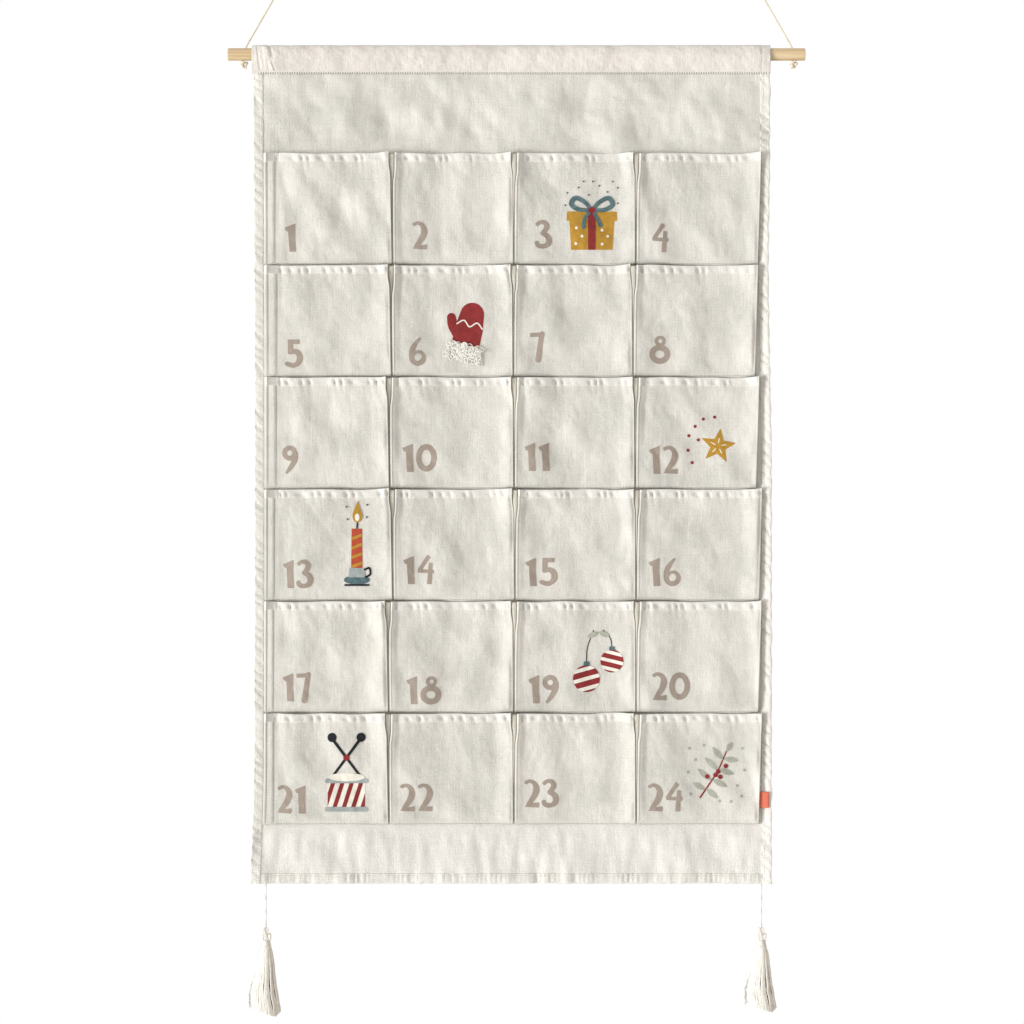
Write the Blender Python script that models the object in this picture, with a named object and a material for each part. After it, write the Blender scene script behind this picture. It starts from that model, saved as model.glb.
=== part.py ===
"""A fabric advent calendar: a cotton banner of pleated pockets that hangs from a wooden rod.

The frame is the rod's: the origin is on its axis, halfway along it. +X runs along the rod, +Z is up,
and -Y is the side with the pockets. Lengths are in metres.
"""

import math

import bmesh
import bpy
from mathutils import Matrix, Vector

MM = 0.001

# Clearance between two pieces that touch on the real thing
SEAT_GAP = 0.3 * MM

# The banner's cloth
BANNER_WIDTH = 500.0 * MM
CLOTH = 1.2 * MM
HEM_WIDTH = 9.5 * MM
HEM_EDGE = 0.5 * MM
TOP_BAND = 78.8 * MM
BOTTOM_BAND = 56.0 * MM

# The pockets: rows of one pleated strip, each sewn down at its seams and its lower edge
ROWS = 6
COLUMNS = 4
ROW_PITCH = 108.2 * MM
ROW_GAP = 1.0 * MM
SEAM_SPACING = 118.0 * MM
SEAM_SHIFT = 3.4 * MM
SEAM_FLANGE = 1.6 * MM
POCKET_CLOTH = 1.0 * MM
POCKET_DEPTH = 9.0 * MM
PLEAT_MOUTH_INSET = 3.4 * MM
PLEAT_FOOT_INSET = 2.4 * MM
SIDE_PLEAT_INSET = 12.2 * MM
FOLD_RADIUS = 1.5 * MM
HEIGHT_SHARES = (0.0, 0.05, 0.15, 0.4, 0.7, 1.0)
DEPTH_SHARES = (0.0, 0.30, 0.55, 0.82, 0.95, 1.0)

# The rod and the sleeve that the banner hangs by
ROD_DIAMETER = 12.0 * MM
ROD_CHAMFER = 0.6 * MM
ROD_SEGMENTS = 32
OVERHANG_LEFT = 24.2 * MM
OVERHANG_RIGHT = 33.8 * MM
SLEEVE_LOOSENESS = 1.6 * MM
SLEEVE_DROP = 17.4 * MM
SEAM_THICKNESS = 3.2 * MM
SLEEVE_ARC_STEPS = 20
SLEEVE_ARC_END = math.radians(-28.0)

# The hanging cord: two strands, each through a hole in the rod, to a knot below it
CORD_DIAMETER = 1.9 * MM
CORD_HOLE_CLEARANCE = 0.5 * MM
HOLE_INSET_LEFT = 17.0 * MM
HOLE_INSET_RIGHT = 12.6 * MM
HOLE_SEGMENTS = 16
HOLE_OVERRUN = 2.0 * MM
KNOT_WIDTH = 8.7 * MM
KNOT_DEPTH = 6.6 * MM
KNOT_HEIGHT = 7.2 * MM
KNOT_LEAN = 1.5 * MM
CORD_RESOLUTION = 2
CORD_POINT_STEP = 2.4
CORD_TAPER_SHARE = 0.8
CORD_TIP_SHARE = 0.15

# A strand's route: how far in from its hole and how high over the rod's axis
STRAND_ROUTE = (
    (0.0 * MM, -6.0 * MM),
    (0.0 * MM, 0.0 * MM),
    (0.1 * MM, 5.0 * MM),
    (1.2 * MM, 8.6 * MM),
    (6.0 * MM, 17.2 * MM),
    (18.0 * MM, 38.0 * MM),
    (30.4 * MM, 59.5 * MM),
)

# The loop that each strand is tied into above
LOOP_LENGTH = 20.0 * MM
LOOP_WIDTH = 9.0 * MM
LOOP_STEPS = 24
LOOP_SIDES = 8
LOOP_KNOT_DIAMETER = 5.6 * MM
BALL_SEGMENTS = 14
BALL_RINGS = 8

# The tassels at the banner's lower corners
TASSEL_INSET_LEFT = 12.3 * MM
TASSEL_INSET_RIGHT = 8.8 * MM
TASSEL_CORD_DIAMETER = 2.0 * MM
HEAD_HEIGHT = 16.5 * MM
HEAD_WIDTH = 9.4 * MM
HEAD_DEPTH = 7.0 * MM
HEAD_YARN = 4.0 * MM
BINDING_HEIGHT = 4.4 * MM
BINDING_WIDTH = 10.6 * MM
BINDING_WALL = 1.1 * MM
BINDING_BULGE = 0.3 * MM
SKIRT_LENGTH_LEFT = 61.0 * MM
SKIRT_LENGTH_RIGHT = 57.0 * MM
SKIRT_SHOULDER_WIDTH = 14.5 * MM
SKIRT_HEM_WIDTH = 31.0 * MM
SKIRT_SLANT = 7.0 * MM
SKIRT_SIDES = 20
SKIRT_DEPTH_SHARE = 0.6
SKIRT_LOBE_SHARE = 0.07
SKIRT_LOBES = 5
SKIRT_HEIGHT_SHARES = (0.0, 0.06, 0.3, 0.65, 1.0)
SKIRT_FLARE_SHARES = (0.0, 0.12, 0.30, 0.66, 1.0)

# A tassel cord's route: how far out from its corner of the hem and how far below the hem
TASSEL_ROUTE = (
    (0.0 * MM, 0.0 * MM),
    (0.1 * MM, -12.0 * MM),
    (0.0 * MM, -24.0 * MM),
    (-0.1 * MM, -34.0 * MM),
    (0.0 * MM, -42.2 * MM),
)

# The blank label that is sewn into the right side hem
TAB_WIDTH = 7.6 * MM
TAB_HEIGHT = 15.2 * MM
TAB_THICKNESS = 1.6 * MM
TAB_RISE = 17.5 * MM
TAB_ROUNDING = 0.5 * MM

# Worked out from the sizes above
ROD_LENGTH = OVERHANG_LEFT + BANNER_WIDTH + OVERHANG_RIGHT
ROD_RADIUS = ROD_DIAMETER / 2
ROD_LEFT = -ROD_LENGTH / 2
ROD_RIGHT = ROD_LENGTH / 2
CLOTH_LEFT = ROD_LEFT + OVERHANG_LEFT
CLOTH_RIGHT = CLOTH_LEFT + BANNER_WIDTH
CLOTH_MIDDLE = (CLOTH_LEFT + CLOTH_RIGHT) / 2
HOLE_X = {"left": ROD_LEFT + HOLE_INSET_LEFT, "right": ROD_RIGHT - HOLE_INSET_RIGHT}
INWARD = {"left": 1.0, "right": -1.0}
SEAM_Z = -SLEEVE_DROP
PANEL_TOP = SEAM_Z - SEAT_GAP / 2
FIRST_MOUTH_Z = SEAM_Z - TOP_BAND
PANEL_BOTTOM = FIRST_MOUTH_Z - ROWS * ROW_PITCH - BOTTOM_BAND
FIELD_BACK = CLOTH / 2
FIELD_FRONT = -CLOTH / 2
HEM_FRONT = FIELD_FRONT - SEAT_GAP - CLOTH
HEM_MIDDLE = (FIELD_BACK + HEM_FRONT) / 2
POCKET_HEIGHT = ROW_PITCH - ROW_GAP
POCKET_BASE = FIELD_FRONT - SEAT_GAP - POCKET_CLOTH


def smooth_route(route, step):
    """Points about one step apart on a Catmull-Rom curve through the route's own points."""
    points = [Vector(point) for point in route]
    ends = [2 * points[0] - points[1], *points, 2 * points[-1] - points[-2]]
    out = [points[0]]
    for before, start, end, after in zip(ends, ends[1:], ends[2:], ends[3:]):
        count = max(1, round((end - start).length / step))
        for i in range(1, count + 1):
            t = i / count
            out.append(
                (
                    2 * start
                    + (end - before) * t
                    + (2 * before - 5 * start + 4 * end - after) * t**2
                    + (3 * start - before - 3 * end + after) * t**3
                )
                / 2
            )
    return out


def make_material(name, colour, roughness):
    material = bpy.data.materials.new(name)
    material.use_nodes = True
    shader = material.node_tree.nodes["Principled BSDF"]
    shader.inputs["Base Color"].default_value = (*colour, 1.0)
    shader.inputs["Roughness"].default_value = roughness
    shader.inputs["Metallic"].default_value = 0.0
    return material


def world_place(obj):
    """Where an object's origin lies. No object here is turned, so the parents' places add up."""
    return obj.location + (world_place(obj.parent) if obj.parent else Vector())


def add_object(name, data, material, place, parent=None):
    obj = bpy.data.objects.new(name, data)
    bpy.context.scene.collection.objects.link(obj)
    data.materials.append(material)
    obj.parent = parent
    obj.location = Vector(place) - (world_place(parent) if parent else Vector())
    return obj


def mesh_from(bm, name, smooth=False):
    bmesh.ops.recalc_face_normals(bm, faces=bm.faces)
    mesh = bpy.data.meshes.new(name)
    bm.to_mesh(mesh)
    bm.free()
    if smooth:
        mesh.shade_smooth()
        mesh.set_sharp_from_angle(angle=math.radians(40))
    return mesh


def ring_mesh(name, rings, closed):
    """A mesh through rings of points. Closed joins the last ring to the first, and open ends get caps."""
    bm = bmesh.new()
    loops = [[bm.verts.new(point) for point in ring] for ring in rings]
    pairs = list(zip(loops, loops[1:]))
    if closed:
        pairs.append((loops[-1], loops[0]))
    else:
        bm.faces.new(loops[0])
        bm.faces.new(reversed(loops[-1]))
    for low, high in pairs:
        for i in range(len(low)):
            j = (i + 1) % len(low)
            bm.faces.new((low[i], low[j], high[j], high[i]))
    return mesh_from(bm, name, smooth=True)


def eye_mesh(name, size, yarn, middle):
    """An upright ring about its middle, such as a loop of cord. Its section is yarn wide and size.y deep."""
    width, depth, height = size
    rings = []
    for i in range(LOOP_STEPS):
        turn = math.tau * i / LOOP_STEPS
        out = Vector((math.sin(turn), 0.0, math.cos(turn)))
        centre = middle + Vector((out.x * (width - yarn) / 2, 0.0, out.z * (height - yarn) / 2))
        ring = []
        for j in range(LOOP_SIDES):
            around = math.tau * j / LOOP_SIDES
            across = out * math.cos(around) * yarn / 2
            ring.append(centre + across + Vector((0.0, math.sin(around) * depth / 2, 0.0)))
        rings.append(ring)
    return ring_mesh(name, rings, closed=True)


def ball_mesh(name, size, middle):
    bm = bmesh.new()
    bmesh.ops.create_uvsphere(bm, u_segments=BALL_SEGMENTS, v_segments=BALL_RINGS, radius=1.0)
    bmesh.ops.scale(bm, vec=Vector(size) / 2, verts=bm.verts)
    bmesh.ops.translate(bm, vec=middle, verts=bm.verts)
    return mesh_from(bm, name, smooth=True)


def cutter(name, mesh, owner, operation):
    """A hidden helper that a Boolean on its owner uses."""
    helper = bpy.data.objects.new(name, mesh)
    bpy.context.scene.collection.objects.link(helper)
    helper.location = world_place(owner)
    helper.hide_render = True
    helper.display_type = "WIRE"
    modifier = owner.modifiers.new(name, "BOOLEAN")
    modifier.operation = operation
    modifier.object = helper
    return helper


def build_rod(wood):
    """The rod, with a ring of points on each side of its cord holes so that their cuts stay local."""
    reach = CORD_DIAMETER / 2 + CORD_HOLE_CLEARANCE + HOLE_OVERRUN
    stations = [(ROD_LEFT, ROD_RADIUS - ROD_CHAMFER), (ROD_LEFT + ROD_CHAMFER, ROD_RADIUS)]
    stations += [(x + side * reach, ROD_RADIUS) for x in HOLE_X.values() for side in (-1, 1)]
    stations += [(ROD_RIGHT - ROD_CHAMFER, ROD_RADIUS), (ROD_RIGHT, ROD_RADIUS - ROD_CHAMFER)]
    turns = [math.tau * i / ROD_SEGMENTS for i in range(ROD_SEGMENTS)]
    rings = [[Vector((x, r * math.cos(t), r * math.sin(t))) for t in turns] for x, r in stations]
    rod = add_object("dowel", ring_mesh("dowel", rings, closed=False), wood, (0.0, 0.0, 0.0))
    for side, x in HOLE_X.items():
        bm = bmesh.new()
        radius = CORD_DIAMETER / 2 + CORD_HOLE_CLEARANCE
        bmesh.ops.create_cone(
            bm,
            cap_ends=True,
            segments=HOLE_SEGMENTS,
            radius1=radius,
            radius2=radius,
            depth=ROD_DIAMETER + 2 * HOLE_OVERRUN,
            matrix=Matrix.Translation((x, 0.0, 0.0)),
        )
        cutter("cord_hole_" + side, mesh_from(bm, "cord_hole_" + side), rod, "DIFFERENCE")
    return rod


def cord_object(name, points, diameter, material, place, parent):
    """A tube along points that are given in world places. Its tapered ends leave it free to swing."""
    taper = CORD_TAPER_SHARE * diameter
    start = points[0] + (points[1] - points[0]).normalized() * taper
    end = points[-1] + (points[-2] - points[-1]).normalized() * taper
    points = [points[0], start, *points[1:-1], end, points[-1]]
    curve = bpy.data.curves.new(name, "CURVE")
    curve.dimensions = "3D"
    curve.bevel_depth = diameter / 2
    curve.bevel_resolution = CORD_RESOLUTION
    curve.use_fill_caps = True
    spline = curve.splines.new("POLY")
    spline.points.add(len(points) - 1)
    for target, point in zip(spline.points, points):
        target.co = (*(point - place), 1.0)
    for tip in (spline.points[0], spline.points[-1]):
        tip.radius = CORD_TIP_SHARE
    return add_object(name, curve, material, place, parent)


def build_strand(side, rod, cord):
    """One strand of the hanging cord, the knot under its hole and the loop that it ends in."""
    inward = INWARD[side]
    hole = Vector((HOLE_X[side], 0.0, 0.0))
    route = smooth_route(STRAND_ROUTE, CORD_POINT_STEP * CORD_DIAMETER)
    points = [hole + Vector((inward * across, 0.0, up)) for across, up in route]
    cord_object("hanging_cord_" + side, points, CORD_DIAMETER, cord, hole, rod)

    knot_size = (KNOT_WIDTH, KNOT_DEPTH, KNOT_HEIGHT)
    knot_place = hole - Vector((inward * KNOT_LEAN, 0.0, ROD_RADIUS + SEAT_GAP + KNOT_HEIGHT / 2))
    knot = ball_mesh("rod_knot_" + side, knot_size, Vector())
    add_object("rod_knot_" + side, knot, cord, knot_place, rod)

    along = (points[-1] - points[-2]).normalized()
    tilt = Vector((0.0, 0.0, 1.0)).rotation_difference(along).to_matrix().to_4x4()
    knot_middle = Vector((0.0, 0.0, SEAT_GAP + LOOP_KNOT_DIAMETER / 2))
    loop_middle = knot_middle + Vector((0.0, 0.0, LOOP_LENGTH / 2))
    loop_size = (LOOP_WIDTH, CORD_DIAMETER, LOOP_LENGTH)
    loop = eye_mesh("hanging_loop_" + side, loop_size, CORD_DIAMETER, loop_middle)
    loop.transform(tilt)
    loop_object = add_object("hanging_loop_" + side, loop, cord, points[-1], rod)
    knot = ball_mesh("loop_knot_" + side, (LOOP_KNOT_DIAMETER,) * 3, knot_middle)
    knot.transform(tilt)
    cutter("loop_knot_" + side, knot, loop_object, "UNION")


def sleeve_outline():
    """The sleeve's outer outline across the rod, as (y, z): round over the rod, drawn in to its seam."""
    radius = ROD_RADIUS + SEAT_GAP + SLEEVE_LOOSENESS / 2 + CLOTH
    middle_z = ROD_RADIUS + SEAT_GAP + CLOTH - radius
    outline = []
    for i in range(SLEEVE_ARC_STEPS + 1):
        angle = SLEEVE_ARC_END + (math.pi - 2 * SLEEVE_ARC_END) * i / SLEEVE_ARC_STEPS
        outline.append((radius * math.cos(angle), middle_z + radius * math.sin(angle)))
    foot = SEAM_Z + SEAT_GAP / 2
    outline += [(-SEAM_THICKNESS / 2, foot), (SEAM_THICKNESS / 2, foot)]
    return outline


def build_sleeve(cotton, rod):
    place = Vector((CLOTH_MIDDLE, 0.0, 0.0))
    bm = bmesh.new()
    ends = [
        [bm.verts.new((x, y, z)) for y, z in sleeve_outline()]
        for x in (-BANNER_WIDTH / 2, BANNER_WIDTH / 2)
    ]
    for i in range(len(ends[0])):
        j = (i + 1) % len(ends[0])
        bm.faces.new((ends[0][i], ends[0][j], ends[1][j], ends[1][i]))
    sleeve = add_object("rod_sleeve", mesh_from(bm, "rod_sleeve", smooth=True), cotton, place, rod)
    wall = sleeve.modifiers.new("cloth", "SOLIDIFY")
    wall.thickness = CLOTH
    wall.offset = -1.0
    wall.use_even_offset = True
    return sleeve


def box_mesh(name, low, high):
    bm = bmesh.new()
    bmesh.ops.create_cube(bm, size=1.0)
    bmesh.ops.scale(bm, vec=high - low, verts=bm.verts)
    bmesh.ops.translate(bm, vec=(high + low) / 2, verts=bm.verts)
    return mesh_from(bm, name)


def build_panel(cotton, sleeve):
    """The backing cloth. It swings about the front of its top edge."""
    place = Vector((CLOTH_MIDDLE, HEM_FRONT, SEAM_Z))
    low = Vector((CLOTH_LEFT, FIELD_FRONT, PANEL_BOTTOM)) - place
    high = Vector((CLOTH_RIGHT, FIELD_BACK, PANEL_TOP)) - place
    return add_object("backing_panel", box_mesh("backing_panel", low, high), cotton, place, sleeve)


def build_hems(cotton, panel):
    """The cloth that is turned over along each edge and lies on the front of the backing cloth."""
    left, right = CLOTH_LEFT + HEM_WIDTH, CLOTH_RIGHT - HEM_WIDTH
    spans = {
        "hem_left": (CLOTH_LEFT, left, PANEL_BOTTOM, PANEL_TOP),
        "hem_right": (right, CLOTH_RIGHT, PANEL_BOTTOM, PANEL_TOP),
        "hem_top": (left + SEAT_GAP, right - SEAT_GAP, PANEL_TOP - HEM_WIDTH, PANEL_TOP),
        "hem_bottom": (left + SEAT_GAP, right - SEAT_GAP, PANEL_BOTTOM, PANEL_BOTTOM + HEM_WIDTH),
    }
    for name, (start, end, foot, top) in spans.items():
        high = Vector((end - start, CLOTH, top - foot))
        mesh = box_mesh(name, Vector(), high)
        hem = add_object(name, mesh, cotton, (start, HEM_FRONT, foot), panel)
        edge = hem.modifiers.new("edge", "BEVEL")
        edge.width = HEM_EDGE


def column_edges():
    """Each column's left and right seam, in X."""
    middle = CLOTH_MIDDLE + SEAM_SHIFT
    inner = [middle + (i - COLUMNS / 2) * SEAM_SPACING for i in range(1, COLUMNS)]
    seams = [CLOTH_LEFT + HEM_WIDTH, *inner, CLOTH_RIGHT - HEM_WIDTH]
    return [(a + SEAT_GAP / 2, b - SEAT_GAP / 2) for a, b in zip(seams, seams[1:])]


def pocket_section(width, depth, left_inset, right_inset):
    """A pocket's outer outline at one height, as (x, out), from its left seam to its right one."""
    side = max(0.0, depth - FOLD_RADIUS)
    left, right = left_inset, width - right_inset
    return [
        (0.0, 0.0),
        (SEAM_FLANGE, 0.0),
        (left, side),
        (left + FOLD_RADIUS, depth),
        (right - FOLD_RADIUS, depth),
        (right, side),
        (width - SEAM_FLANGE, 0.0),
        (width, 0.0),
    ]


def build_pocket(number, cotton, panel):
    """One pocket. Its origin is on the seam along its lower edge, which it opens about."""
    row, column = divmod(number - 1, COLUMNS)
    left, right = column_edges()[column]
    foot = FIRST_MOUTH_Z - row * ROW_PITCH - POCKET_HEIGHT
    place = Vector((left, FIELD_FRONT, foot))
    extra = SIDE_PLEAT_INSET - PLEAT_MOUTH_INSET if column == 0 else 0.0
    bm = bmesh.new()
    rows = []
    for height_share, depth_share in zip(HEIGHT_SHARES, DEPTH_SHARES):
        inset = PLEAT_FOOT_INSET + (PLEAT_MOUTH_INSET - PLEAT_FOOT_INSET) * height_share
        section = pocket_section(right - left, POCKET_DEPTH * depth_share, inset + extra, inset)
        base = POCKET_BASE - FIELD_FRONT
        height = POCKET_HEIGHT * height_share
        rows.append([bm.verts.new((x, base - out, height)) for x, out in section])
    for low, high in zip(rows, rows[1:]):
        for i in range(len(low) - 1):
            bm.faces.new((low[i], low[i + 1], high[i + 1], high[i]))
    name = f"pocket_{number:02d}"
    pocket = add_object(name, mesh_from(bm, name), cotton, place, panel)
    wall = pocket.modifiers.new("cloth", "SOLIDIFY")
    wall.thickness = POCKET_CLOTH
    wall.offset = -1.0
    wall.use_even_offset = True
    return pocket


def build_tab(orange, panel):
    """The folded blank label, on the right side hem beside the last pocket."""
    left = CLOTH_RIGHT - HEM_WIDTH + SEAT_GAP
    foot = FIRST_MOUTH_Z - ROWS * ROW_PITCH + TAB_RISE
    back = HEM_FRONT - SEAT_GAP
    low = Vector((0.0, -TAB_THICKNESS, 0.0))
    high = Vector((TAB_WIDTH, 0.0, TAB_HEIGHT))
    tab = add_object("label_tab", box_mesh("label_tab", low, high), orange, (left, back, foot), panel)
    fold = tab.modifiers.new("fold", "BEVEL")
    fold.width = TAB_ROUNDING
    fold.segments = 2


def skirt_mesh(name, length, slant):
    """A tassel's hanging yarn, from the neck inside its binding down to its slanted cut end."""
    neck = BINDING_WIDTH / 2 - BINDING_WALL - SEAT_GAP
    shoulder, hem = SKIRT_SHOULDER_WIDTH / 2, SKIRT_HEM_WIDTH / 2

    def ring(radius, depth, z, lobe, tilt):
        points = []
        for i in range(SKIRT_SIDES):
            turn = math.tau * i / SKIRT_SIDES
            swell = 1.0 + lobe * math.cos(SKIRT_LOBES * turn)
            x = radius * swell * math.cos(turn)
            points.append(Vector((x, depth * swell * math.sin(turn), z - tilt * x / hem / 2)))
        return points

    top = -SEAT_GAP
    rings = [ring(neck, neck, top, 0.0, 0.0), ring(neck, neck, top - BINDING_HEIGHT, 0.0, 0.0)]
    start = top - BINDING_HEIGHT - SEAT_GAP
    for height_share, flare_share in zip(SKIRT_HEIGHT_SHARES, SKIRT_FLARE_SHARES):
        radius = shoulder + (hem - shoulder) * flare_share
        depth = radius * (1.0 + (SKIRT_DEPTH_SHARE - 1.0) * height_share)
        lobe = SKIRT_LOBE_SHARE * height_share
        rings.append(ring(radius, depth, start - length * height_share, lobe, slant * height_share))
    return ring_mesh(name, rings, closed=False)


def binding_mesh(name):
    """The wrapped band round a tassel's neck."""
    outer, inner = BINDING_WIDTH / 2, BINDING_WIDTH / 2 - BINDING_WALL
    top = -SEAT_GAP
    foot = top - BINDING_HEIGHT
    section = [
        (inner, top),
        (outer - BINDING_BULGE, top),
        (outer, (top + foot) / 2),
        (outer - BINDING_BULGE, foot),
        (inner, foot),
    ]
    rings = []
    for radius, z in section:
        turns = [math.tau * i / SKIRT_SIDES for i in range(SKIRT_SIDES)]
        rings.append([Vector((radius * math.cos(t), radius * math.sin(t), z)) for t in turns])
    return ring_mesh(name, rings, closed=True)


def build_tassel(side, panel, cord, yarn):
    """A tassel on its cord. The cord swings at the hem, and the tassel at the cord's lower end."""
    inset = TASSEL_INSET_LEFT if side == "left" else -TASSEL_INSET_RIGHT
    corner_x = (CLOTH_LEFT if side == "left" else CLOTH_RIGHT) + inset
    length = SKIRT_LENGTH_LEFT if side == "left" else SKIRT_LENGTH_RIGHT
    hem = Vector((corner_x, HEM_MIDDLE, PANEL_BOTTOM - SEAT_GAP))
    route = smooth_route(TASSEL_ROUTE, CORD_POINT_STEP * TASSEL_CORD_DIAMETER)
    points = [hem + Vector((-INWARD[side] * out, 0.0, up)) for out, up in route]
    name = "tassel_cord_" + side
    cord_piece = cord_object(name, points, TASSEL_CORD_DIAMETER, cord, hem, panel)

    top = points[-1] - Vector((0.0, 0.0, SEAT_GAP))
    head_size = (HEAD_WIDTH, HEAD_DEPTH, HEAD_HEIGHT)
    head = eye_mesh("tassel_head_" + side, head_size, HEAD_YARN, Vector((0.0, 0.0, -HEAD_HEIGHT / 2)))
    head_piece = add_object("tassel_head_" + side, head, yarn, top, cord_piece)
    neck = top - Vector((0.0, 0.0, HEAD_HEIGHT))
    add_object("tassel_binding_" + side, binding_mesh("tassel_binding_" + side), yarn, neck, head_piece)
    skirt = skirt_mesh("tassel_skirt_" + side, length, SKIRT_SLANT)
    add_object("tassel_skirt_" + side, skirt, yarn, neck, head_piece)


def main():
    for obj in list(bpy.data.objects):
        bpy.data.objects.remove(obj)
    cotton = make_material("cotton_canvas", (0.86, 0.84, 0.79), 0.9)
    wood = make_material("pale_wood", (0.76, 0.56, 0.33), 0.6)
    cord = make_material("cream_cord", (0.83, 0.79, 0.68), 0.85)
    yarn = make_material("tassel_yarn", (0.88, 0.85, 0.78), 0.9)
    orange = make_material("orange_ribbon", (0.86, 0.20, 0.09), 0.7)

    rod = build_rod(wood)
    for side in HOLE_X:
        build_strand(side, rod, cord)
    sleeve = build_sleeve(cotton, rod)
    panel = build_panel(cotton, sleeve)
    build_hems(cotton, panel)
    for number in range(1, ROWS * COLUMNS + 1):
        build_pocket(number, cotton, panel)
    build_tab(orange, panel)
    for side in HOLE_X:
        build_tassel(side, panel, cord, yarn)


main()
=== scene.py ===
# %% [markdown]
# # A fabric advent calendar
# A cotton banner hangs from a wooden rod. It has twenty-four numbered pockets, a twisted hanging cord, a
# small folded label and a yarn tassel at each lower corner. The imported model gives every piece's place and
# the joints. This lesson dresses it: each soft piece is made again as cloth, cord or yarn, and tied to the
# body it moves with.

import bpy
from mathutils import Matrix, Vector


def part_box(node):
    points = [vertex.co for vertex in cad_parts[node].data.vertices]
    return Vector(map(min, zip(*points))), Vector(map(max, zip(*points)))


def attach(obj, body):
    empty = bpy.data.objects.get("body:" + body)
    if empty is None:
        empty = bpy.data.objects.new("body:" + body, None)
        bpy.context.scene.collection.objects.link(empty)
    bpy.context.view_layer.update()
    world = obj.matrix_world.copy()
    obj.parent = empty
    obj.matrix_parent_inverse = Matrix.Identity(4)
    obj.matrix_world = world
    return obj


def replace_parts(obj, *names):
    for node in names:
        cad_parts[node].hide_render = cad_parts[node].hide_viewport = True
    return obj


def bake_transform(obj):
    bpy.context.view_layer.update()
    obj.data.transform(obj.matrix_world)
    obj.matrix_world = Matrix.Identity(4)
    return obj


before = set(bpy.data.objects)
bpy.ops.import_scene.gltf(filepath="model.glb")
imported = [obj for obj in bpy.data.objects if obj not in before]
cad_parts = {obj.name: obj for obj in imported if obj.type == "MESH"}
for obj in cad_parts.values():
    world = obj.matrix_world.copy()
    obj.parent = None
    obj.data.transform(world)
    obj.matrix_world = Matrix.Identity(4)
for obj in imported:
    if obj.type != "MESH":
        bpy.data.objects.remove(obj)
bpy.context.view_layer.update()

# %% [markdown]
# ## Measures
# The rod is 12 mm thick and covers 12.4 pixels of the photograph, which gives the size of a pixel. Places
# that were read off the photograph are kept in pixels and turned into metres here, so that they can be
# checked by eye.

# %% Units, and where a pixel lies
import math
import random

import bmesh
import bpy
import numpy as np
from mathutils import Vector

MM = 0.001
PIXEL = 0.967
ROD_PIXEL = (516.5, 54.5)


def from_photo(across, down):
    """The place of a pixel on the banner, in millimetres right of the rod's middle and above it."""
    return (across - ROD_PIXEL[0]) * PIXEL, (ROD_PIXEL[1] - down) * PIXEL


def ease(t):
    """0 before t = 0, 1 after t = 1, and a smooth rise between."""
    t = np.clip(t, 0.0, 1.0)
    return t * t * (3.0 - 2.0 * t)


def bump(place, middle, width):
    """1 at the middle, in a smooth hump of about this half width."""
    return np.exp(-(((place - middle) / width) ** 2))


print("the photograph shows", round(1024 * PIXEL), "mm across")

# %% [markdown]
# ## Camera
# The photograph looks straight at the banner from some way off, so that its edges stay parallel. A 100 mm
# lens 2.75 m away has the same field of view as the photograph, and the camera stands level with the
# picture's middle.

# %% Photograph's camera
CAMERA_DISTANCE = 2.75
view_middle = from_photo(512, 512)
lens = bpy.data.cameras.new("photo_camera")
lens.lens = 100.0
lens.sensor_width = lens.lens * 1024 * PIXEL * MM / CAMERA_DISTANCE
camera = bpy.data.objects.new("photo_camera", lens)
camera.location = (view_middle[0] * MM, -CAMERA_DISTANCE, view_middle[1] * MM)
camera.rotation_euler = (math.pi / 2, 0.0, 0.0)
bpy.context.scene.collection.objects.link(camera)
bpy.context.scene.camera = camera
print("camera at", tuple(round(v, 4) for v in camera.location), "sensor", round(lens.sensor_width, 2), "mm")

# %% [markdown]
# ## A shorthand for shader nodes
# A material is a graph of nodes, which is slow to write and hard to read as code. Two small classes help. A
# Wire is one socket, and sums or products of wires add the Math nodes they stand for. A Finish is a material
# in the making, and its `node` adds any other kind of node from its settings and inputs.


# %% Wire and Finish
class Wire:
    """One output in a material's graph, for use in sums."""

    def __init__(self, finish, socket):
        self.finish, self.socket = finish, socket

    def maths(self, operation, *values):
        return self.finish.node("Math", {"operation": operation}, dict(enumerate(values)))

    def __add__(self, other):
        return self.maths("ADD", self, other)

    def __sub__(self, other):
        return self.maths("SUBTRACT", self, other)

    def __rsub__(self, other):
        return self.maths("SUBTRACT", other, self)

    def __mul__(self, other):
        return self.maths("MULTIPLY", self, other)

    __radd__ = __add__
    __rmul__ = __mul__

    def sine(self):
        return self.maths("SINE", self)

    def within(self, low, high):
        """0 below low and 1 above high, in a smooth rise."""
        settings = {"interpolation_type": "SMOOTHSTEP"}
        return self.finish.node("MapRange", settings, {"Value": self, "From Min": low, "From Max": high})

    def part(self, axis):
        return self.finish.node("SeparateXYZ", None, {0: self}, axis)


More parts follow.
